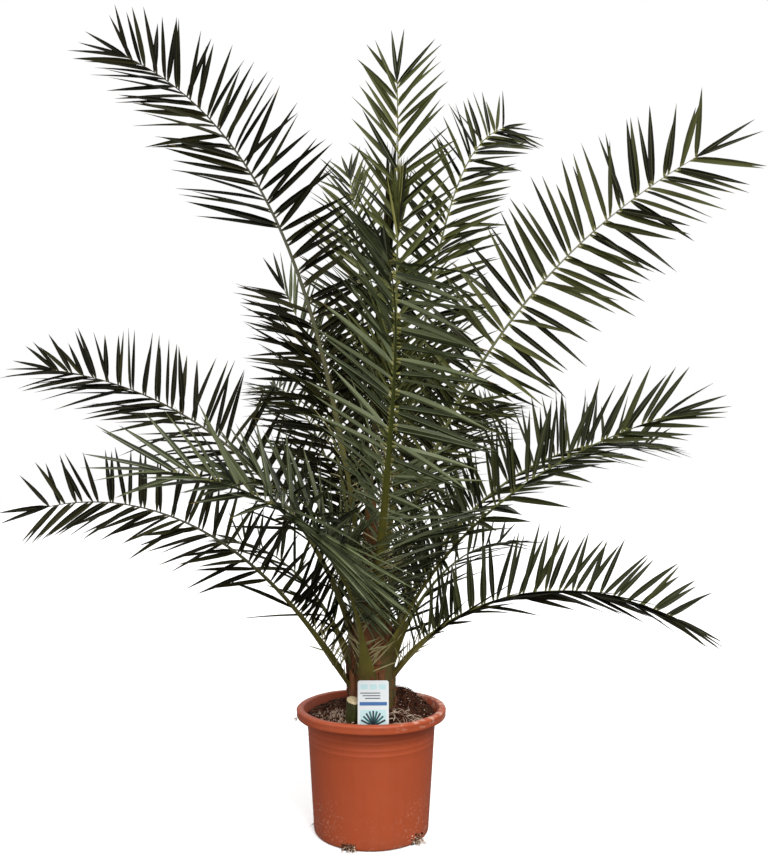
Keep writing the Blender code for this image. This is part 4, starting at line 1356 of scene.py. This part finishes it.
def add_bundle(sheaf, rib, rng, settings):
    """Leaflets still folded against a young frond's rib, most on its +X side."""
    frond = rib.frond
    count = round((frond.folded - BUNDLE_FOOT) * frond.length / BUNDLE_SPACING)
    for i in range(count):
        share = i / count
        at = blend(BUNDLE_FOOT, frond.folded, share)
        along, left, up = rib.frame(at)
        turn = rng.uniform(0, TURN)
        out = left * math.cos(turn) + up * math.sin(turn)
        if out.x < 0.0 and rng.random() < 0.5:
            out.negate()
        length = BUNDLE_LENGTH * rng.uniform(0.75, 1.0) * (1.0 - 0.35 * share)
        leaf = Leaf(rib.place(at) + out * rib.half_width(at) * 0.9, along, out,
                    along.cross(out), 1, length, rng.uniform(1.0, 13.0),
                    rng.uniform(-3, 3), settings.width * 0.60, 0.0,
                    rng.uniform(-20, 20), 0.0)
        slot = rng.choices((FOOT, DRY, 0, 1, 2), (2, 2, 1, 4, 4))[0]
        add_leaf(sheaf, leaf, slot, slot, slot, slot)


def add_rib(sheaf, rib):
    """The stalk and rib of a frond, from its sheath round the trunk to its tip."""
    frond = rib.frond
    seat = rib.place(0.0)
    low = frond.seat_height < LOW_SEAT
    depth = frond.seat_height - SHEATH_FOOT if low else HIDDEN_FOOT
    rings = []
    shares = []

    def add_ring(centre, left, up, half, thick, hug, share):
        rings.append([centre + left * (x * half)
                      + up * (y * thick + hug * (x * half) ** 2 / RIB_CURVE)
                      for x, y in RIB_OUTLINE])
        shares.append(share)

    left = rib.frame(0.0, 0.0)[1]
    inward = Vector((-seat.x, -seat.y, 0.0)).normalized()
    for i in range(RIB_FEET):
        share = 1.0 - i / RIB_FEET
        add_ring(seat + DOWN * (depth * share), left, inward,
                 rib.half_width(0.0) * (1.0 + 0.08 * share), rib.half_depth(0.0), 1.0, 0.0)
    for i in range(RIB_STATIONS):
        share = (i / (RIB_STATIONS - 1)) ** 1.25
        _, left, up = rib.frame(share, eased(share / (frond.petiole * 0.9)))
        add_ring(rib.place(share), left, up, rib.half_width(share), rib.half_depth(share),
                 1.0 - eased(share * frond.length / RIB_HUG), share)
    sheaf.tube(rings, shares, lambda i, j: 0)


class PALM_OT_make_fronds(Operator):
    """Model every frond: stalk and rib, spines and folded leaflets"""

    bl_idname = "palm.make_fronds"
    bl_label = "Make fronds"

    def execute(self, context):
        settings = context.scene.palm_fronds
        rng = random.Random(settings.seed)
        for frond in FRONDS:
            rib = Rib(frond)
            stalk = Sheaf()
            add_rib(stalk, rib)
            piece = stalk.piece(frond.name + "_rib", [shared(frond.skin, rib_skin)], 60.0)
            dressed(piece, [frond.name])
            leaves = Sheaf()
            add_leaflets(leaves, rib, rng, settings)
            add_fringe(leaves, rib, rng, settings)
            if frond.spines:
                add_spines(leaves, rib, rng)
            if frond.folded:
                add_bundle(leaves, rib, rng, settings)
            if frond.veil:
                add_veil(leaves, rib, rng, settings)
            materials = leaf_materials(frond.shade)
            if frond.other:
                materials += leaf_materials(frond.other)[:DRY]
            piece = leaves.piece(frond.name + "_leaflets", materials, 24.0)
            dressed(piece, [frond.name])
        return {"FINISHED"}


# =================================================================== spear
SPEAR_SEED = 5
SPEAR_STEPS = 12                  # points along its own rib
SPEAR_LEAVES = 46
SPEAR_LOW = 0.16                  # leaflets stand from this share of its height
SPEAR_SPAN = 0.66                 # and over this much of it
SPEAR_RIB = 0.0035
SPEAR_WIDTH = 0.0090              # width of its folded leaflets
YOUNG_LOW, SCURF, YOUNG_MIDDLE = range(3)


class PALM_OT_make_spear(Operator):
    """Model the youngest leaf, its leaflets still folded together"""

    bl_idname = "palm.make_spear"
    bl_label = "Make spear"

    def execute(self, context):
        rng = random.Random(SPEAR_SEED)
        low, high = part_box("spear")
        foot = Vector((0.0, 0.0, low.z - 0.02))
        tip = Vector((high.x - 0.004, high.y - 0.004, high.z - 0.004))
        spear = Sheaf()
        line = []
        for i in range(SPEAR_STEPS + 1):
            share = i / SPEAR_STEPS
            lean = share ** 1.4
            line.append(Vector((tip.x * lean, tip.y * lean, blend(foot.z, tip.z, share))))
        thread(spear, line, SPEAR_RIB, SCURF, 8, 0.25)
        for i in range(SPEAR_LEAVES):
            share = SPEAR_LOW + SPEAR_SPAN * i / SPEAR_LEAVES
            at = share * SPEAR_STEPS
            before, after = line[int(at)], line[int(at) + 1]
            root = before.lerp(after, at - int(at))
            along = (after - before).normalized()
            left = polar(1.0, rng.uniform(0, TURN))
            left = (left - along * left.dot(along)).normalized()
            up = along.cross(left)
            length = min(0.20, (1.02 - share) * (tip.z - foot.z)) * rng.uniform(0.85, 1.0)
            leaf = Leaf(root + left * 0.0025, along, left, up, 1, length,
                        rng.uniform(1.0, 4.5), rng.uniform(-4, 4), SPEAR_WIDTH, 0.0, 0.0, 0.0)
            slot = rng.choices((YOUNG_LOW, SCURF, YOUNG_MIDDLE), (4, 3, 2))[0]
            add_leaf(spear, leaf, slot, slot, slot, YOUNG_MIDDLE)
        scurf = shared("spear_scurf", leaf_skin, (0.090, 0.074, 0.026), 0.6)
        young = leaf_materials("young")
        materials = [young[0], scurf, young[1]]
        dressed(spear.piece("spear_leaf", materials, 24.0), ["spear"])
        return {"FINISHED"}


# ================================================================== label
LABEL_PLACE = (0.0030, -0.0915)
LABEL_WIDTH = 0.051
LABEL_HEIGHT = 0.096
LABEL_THICK = 0.0012
LABEL_TOP = 0.2715
LABEL_LEAN = 3.0
PRINT_LIFT = 0.00012              # how far the print stands proud of the card


def card_shape(place, size, corner, material, lift):
    """A flat oblong, its corners rounded, lying at a place on the label's plane."""
    deselect()
    bpy.ops.mesh.primitive_plane_add(size=1.0)
    shape = bpy.context.object
    edit_all(shape)
    bpy.ops.transform.resize(value=(*size, 1.0))
    if corner > 0.0:
        bpy.ops.mesh.bevel(offset=corner, offset_type="OFFSET", segments=5, affect="VERTICES")
    bpy.ops.mesh.extrude_region_move(TRANSFORM_OT_translate={"value": (0, 0, lift)})
    bpy.ops.mesh.select_all(action="SELECT")
    bpy.ops.mesh.normals_make_consistent(inside=False)
    bpy.ops.object.mode_set(mode="OBJECT")
    shape.data.materials.append(material)
    shape.location = (*place, 0.0)
    return shape


class PALM_OT_make_label(Operator):
    """Model the care label: a thin card with a generic design"""

    bl_idname = "palm.make_label"
    bl_label = "Make label"

    def execute(self, context):
        settings = context.scene.palm_label
        shapes = []

        def skin(name, colour, roughness=0.30):
            return plain_skin(name, colour, roughness, 60.0, 0.04)

        def add(place, size, corner, material, lift=PRINT_LIFT):
            shapes.append(card_shape(place, size, corner, material, lift))
            return shapes[-1]

        card = skin("label_card", settings.card_colour)
        sky = skin("label_sky", (0.560, 0.780, 0.800))
        band = skin("label_band", settings.band_colour)
        teal = skin("label_teal", (0.020, 0.115, 0.110), 0.32)
        ink = skin("label_ink", (0.030, 0.040, 0.055), 0.32)
        add((0, -LABEL_HEIGHT / 2), (LABEL_WIDTH, LABEL_HEIGHT), 0.004, card, -LABEL_THICK)
        for i in range(3):
            add((-0.0150 + 0.0150 * i, -0.0100), (0.0120, 0.0080), 0.002, sky)
        for i in range(3):
            add((-0.0050 + 0.0020 * i, -0.0200 - 0.0042 * i),
                (0.0330 - 0.0040 * i, 0.0014), 0.0, ink)
        add((0, -0.0370), (0.045, 0.0056), 0.001, band)
        add((0, -0.0680), (0.043, 0.0430), 0.004, sky)
        for i in range(9):
            turn = math.radians(-64 + 16 * i)
            blade = add((0.0105 * math.sin(turn), -0.0745 + 0.0150 * math.cos(turn)),
                        (0.0030, 0.0230), 0.0, teal if i % 2 else ink, PRINT_LIFT * 2)
            blade.rotation_euler = (0, 0, -turn)
        add((0, -0.0815), (0.0130, 0.0110), 0.001, band, PRINT_LIFT * 2)
        picked(*shapes)
        bpy.ops.object.join()
        label = settled(named(bpy.context.object, "care_label"))
        label.rotation_euler = (math.radians(90.0 - LABEL_LEAN), 0.0, 0.0)
        label.location = (*LABEL_PLACE, LABEL_TOP)
        label.location.y -= LABEL_THICK / 2
        settled(label)
        smooth(label, 30.0)
        dressed(label, ["label"])
        return {"FINISHED"}


# =============================================================== cut stub
STUB_FOOT_RADIUS = 0.0135
STUB_TOP_RADIUS = 0.0090
STUB_LENGTH = 0.060
STUB_MIDDLE = 0.218               # height of its middle
STUB_LEAN = 12.0
STUB_CUT_AT = 0.0200              # over its middle
STUB_CUT_FACES = (0.16, -0.36, 0.92)
STUB_ROUGH = 0.0009
STUB_SEED = 4                     # noise_vector, unlike noise, has to be seeded


class PALM_OT_make_stub(Operator):
    """Model the stub of a cut leaf stalk, with its pale slanting face"""

    bl_idname = "palm.make_stub"
    bl_label = "Make cut stub"

    def execute(self, context):
        low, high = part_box("cut_stub")
        deselect()
        bpy.ops.mesh.primitive_cone_add(vertices=28, radius1=STUB_FOOT_RADIUS,
                                        radius2=STUB_TOP_RADIUS, depth=STUB_LENGTH)
        stub = named(bpy.context.object, "stalk_stub")
        edit_all(stub)
        bpy.ops.transform.resize(value=(1.12, 0.86, 1.0))
        bpy.ops.mesh.bisect(plane_co=(0.0, 0.0, STUB_CUT_AT), plane_no=STUB_CUT_FACES,
                            use_fill=True, clear_outer=True)
        bpy.ops.object.mode_set(mode="OBJECT")
        stub.data.materials.append(grained("stub_green", (0.050, 0.053, 0.010),
                                           (0.022, 0.022, 0.005), 0.55))
        stub.data.materials.append(grained("stub_cut", (0.620, 0.520, 0.330),
                                           (0.420, 0.300, 0.150), 0.8, 600.0, (1, 1, 1)))
        for face in stub.data.polygons:
            if len(face.vertices) > 4 and face.normal.z > 0.2:
                face.material_index = 1
        stub.rotation_euler = (math.radians(STUB_LEAN), 0.0, 0.0)
        stub.location = ((low.x + high.x) / 2, (low.y + high.y) / 2, STUB_MIDDLE)
        settled(stub)
        noise.seed_set(STUB_SEED)
        for vertex in stub.data.vertices:
            vertex.co += STUB_ROUGH * noise.noise_vector(vertex.co * 90.0)
        with_modifier(stub, "BEVEL", width=0.0006, segments=2, limit_method="ANGLE",
                      angle_limit=math.radians(50))
        smooth(stub, 40.0)
        dressed(stub, ["cut_stub"])
        return {"FINISHED"}


# =================================================================== stage
WHITE = (1.0, 1.0, 1.0, 1.0)
FLOOR_GREY = (0.86, 0.86, 0.86)
FLOOR_GLOW = 0.35
SKY_HEIGHTS = (-0.4, 0.7)         # between these the sky brightens
SKY_POWERS = (0.14, 0.75)
KEY_WAY = (-0.35, 0.75, -0.95)    # where the main light falls
KEY_POWER = 2.1
KEY_ANGLE = 24.0
SENSOR = 36.0
FOCAL = 840.0 / 858.0             # focal length over the sensor's width
CAMERA_TILT = 94.0
CAMERA_TURN = -0.84
# soft lights: name, place, height of their aim on the axis, size and power
SOFT_LIGHTS = (
    ("fill_left", (-1.8, -1.8, 1.6), 0.7, (1.6, 2.2), 13.0),
    ("fill_front", (0.4, -2.4, 1.0), 0.8, (1.8, 1.8), 15.0),
    ("back_top", (0.4, 1.9, 2.4), 0.8, (2.0, 1.2), 26.0),
)


def aimed(light, place, way):
    """Put a light at a place, pointing one way."""
    item = bpy.data.objects.new(light.name, light)
    item.location = place
    item.rotation_euler = way.to_track_quat("-Z", "Y").to_euler()
    bpy.context.scene.collection.objects.link(item)
    return item


def soft_light(name, place, aim, size, power):
    """A broad light, unseen by the camera, aimed at a height on the pot's axis."""
    light = bpy.data.lights.new(name, "AREA")
    light.shape = "RECTANGLE"
    light.size, light.size_y = size
    light.energy = power
    aimed(light, place, UP * aim - Vector(place)).visible_camera = False


def make_world(scene):
    """White where the camera sees the sky, and a fill from above for the rest."""
    world = bpy.data.worlds.new("studio")
    scene.world = world
    world.use_nodes = True
    nodes = world.node_tree.nodes
    links = world.node_tree.links
    seen = nodes["Background"]
    fill = nodes.new("ShaderNodeBackground")
    for background in (seen, fill):
        background.inputs[0].default_value = WHITE
    seen.inputs[1].default_value = 1.0
    parts = nodes.new("ShaderNodeSeparateXYZ")
    links.new(nodes.new("ShaderNodeTexCoord").outputs["Generated"], parts.inputs[0])
    grade = mapped(world.node_tree, parts.outputs[2], *SKY_HEIGHTS, *SKY_POWERS)
    links.new(grade, fill.inputs[1])
    both = nodes.new("ShaderNodeMixShader")
    links.new(nodes.new("ShaderNodeLightPath").outputs["Is Camera Ray"], both.inputs[0])
    links.new(fill.outputs[0], both.inputs[1])
    links.new(seen.outputs[0], both.inputs[2])
    links.new(both.outputs[0], nodes["World Output"].inputs[0])


class PALM_OT_make_stage(Operator):
    """Set up the pale floor, the soft lights and the camera"""

    bl_idname = "palm.make_stage"
    bl_label = "Make stage"

    def execute(self, context):
        settings = context.scene.palm_stage
        scene = context.scene
        deselect()
        bpy.ops.mesh.primitive_plane_add(size=60.0, location=(0, 0, -0.0002))
        floor = settled(named(bpy.context.object, "floor"))
        pale = Finish("floor_pale", FLOOR_GREY, 0.9, 0.1)
        pale.bump(pale.noise(40.0, 3.0), 0.02, 0.001)
        pale.shader.inputs["Emission Color"].default_value = WHITE
        pale.shader.inputs["Emission Strength"].default_value = FLOOR_GLOW
        floor.data.materials.append(pale.material)
        floor.visible_diffuse = False
        floor.visible_glossy = False

        make_world(scene)
        sun = bpy.data.lights.new("key", "SUN")
        sun.energy = KEY_POWER
        sun.angle = math.radians(KEY_ANGLE)
        aimed(sun, (0, 0, 0), Vector(KEY_WAY))
        for light in SOFT_LIGHTS:
            soft_light(*light)

        camera = bpy.data.cameras.new("camera")
        camera.sensor_width = SENSOR
        camera.lens = SENSOR * FOCAL
        item = bpy.data.objects.new("camera", camera)
        item.location = (0.0, -settings.distance, settings.camera_height)
        item.rotation_euler = (math.radians(CAMERA_TILT), 0.0, math.radians(CAMERA_TURN))
        scene.collection.objects.link(item)
        scene.camera = item
        scene.view_settings.view_transform = "Standard"
        return {"FINISHED"}


# =================================================================== panel
class PALM_PT_panel(Panel):
    """Sizes and colours of the palm, and its operators"""

    bl_idname = "PALM_PT_panel"
    bl_label = "Potted date palm"
    bl_space_type = "VIEW_3D"
    bl_region_type = "UI"
    bl_category = "Date palm"

    def draw(self, context):
        for name, _, operator in PARTS:
            box = self.layout.box()
            if name:
                settings = getattr(context.scene, name)
                for key in settings.__annotations__:
                    box.prop(settings, key)
            box.operator(operator.bl_idname)


# the settings of each part, where it has some, and its operator
PARTS = (
    ("palm_pot", PalmPotSettings, PALM_OT_make_pot),
    ("palm_soil", PalmSoilSettings, PALM_OT_make_soil),
    ("palm_trunk", PalmTrunkSettings, PALM_OT_make_trunk),
    ("palm_fronds", PalmFrondSettings, PALM_OT_make_fronds),
    ("", None, PALM_OT_make_spear),
    ("palm_label", PalmLabelSettings, PALM_OT_make_label),
    ("", None, PALM_OT_make_stub),
    ("palm_stage", PalmStageSettings, PALM_OT_make_stage),
)
SETTINGS = {name: kind for name, kind, _ in PARTS if name}
CLASSES = (*SETTINGS.values(), *(operator for _, _, operator in PARTS), PALM_PT_panel)


def register():
    for item in CLASSES:
        bpy.utils.register_class(item)
    for name, kind in SETTINGS.items():
        setattr(bpy.types.Scene, name, PointerProperty(type=kind))


def unregister():
    for name in SETTINGS:
        delattr(bpy.types.Scene, name)
    for item in reversed(CLASSES):
        bpy.utils.unregister_class(item)


def main():
    register()
    bpy.ops.palm.make_pot()
    bpy.ops.palm.make_soil()
    bpy.ops.palm.make_trunk()
    bpy.ops.palm.make_fronds()
    bpy.ops.palm.make_spear()
    bpy.ops.palm.make_label()
    bpy.ops.palm.make_stub()
    bpy.ops.palm.make_stage()


if __name__ == "__main__":
    main()
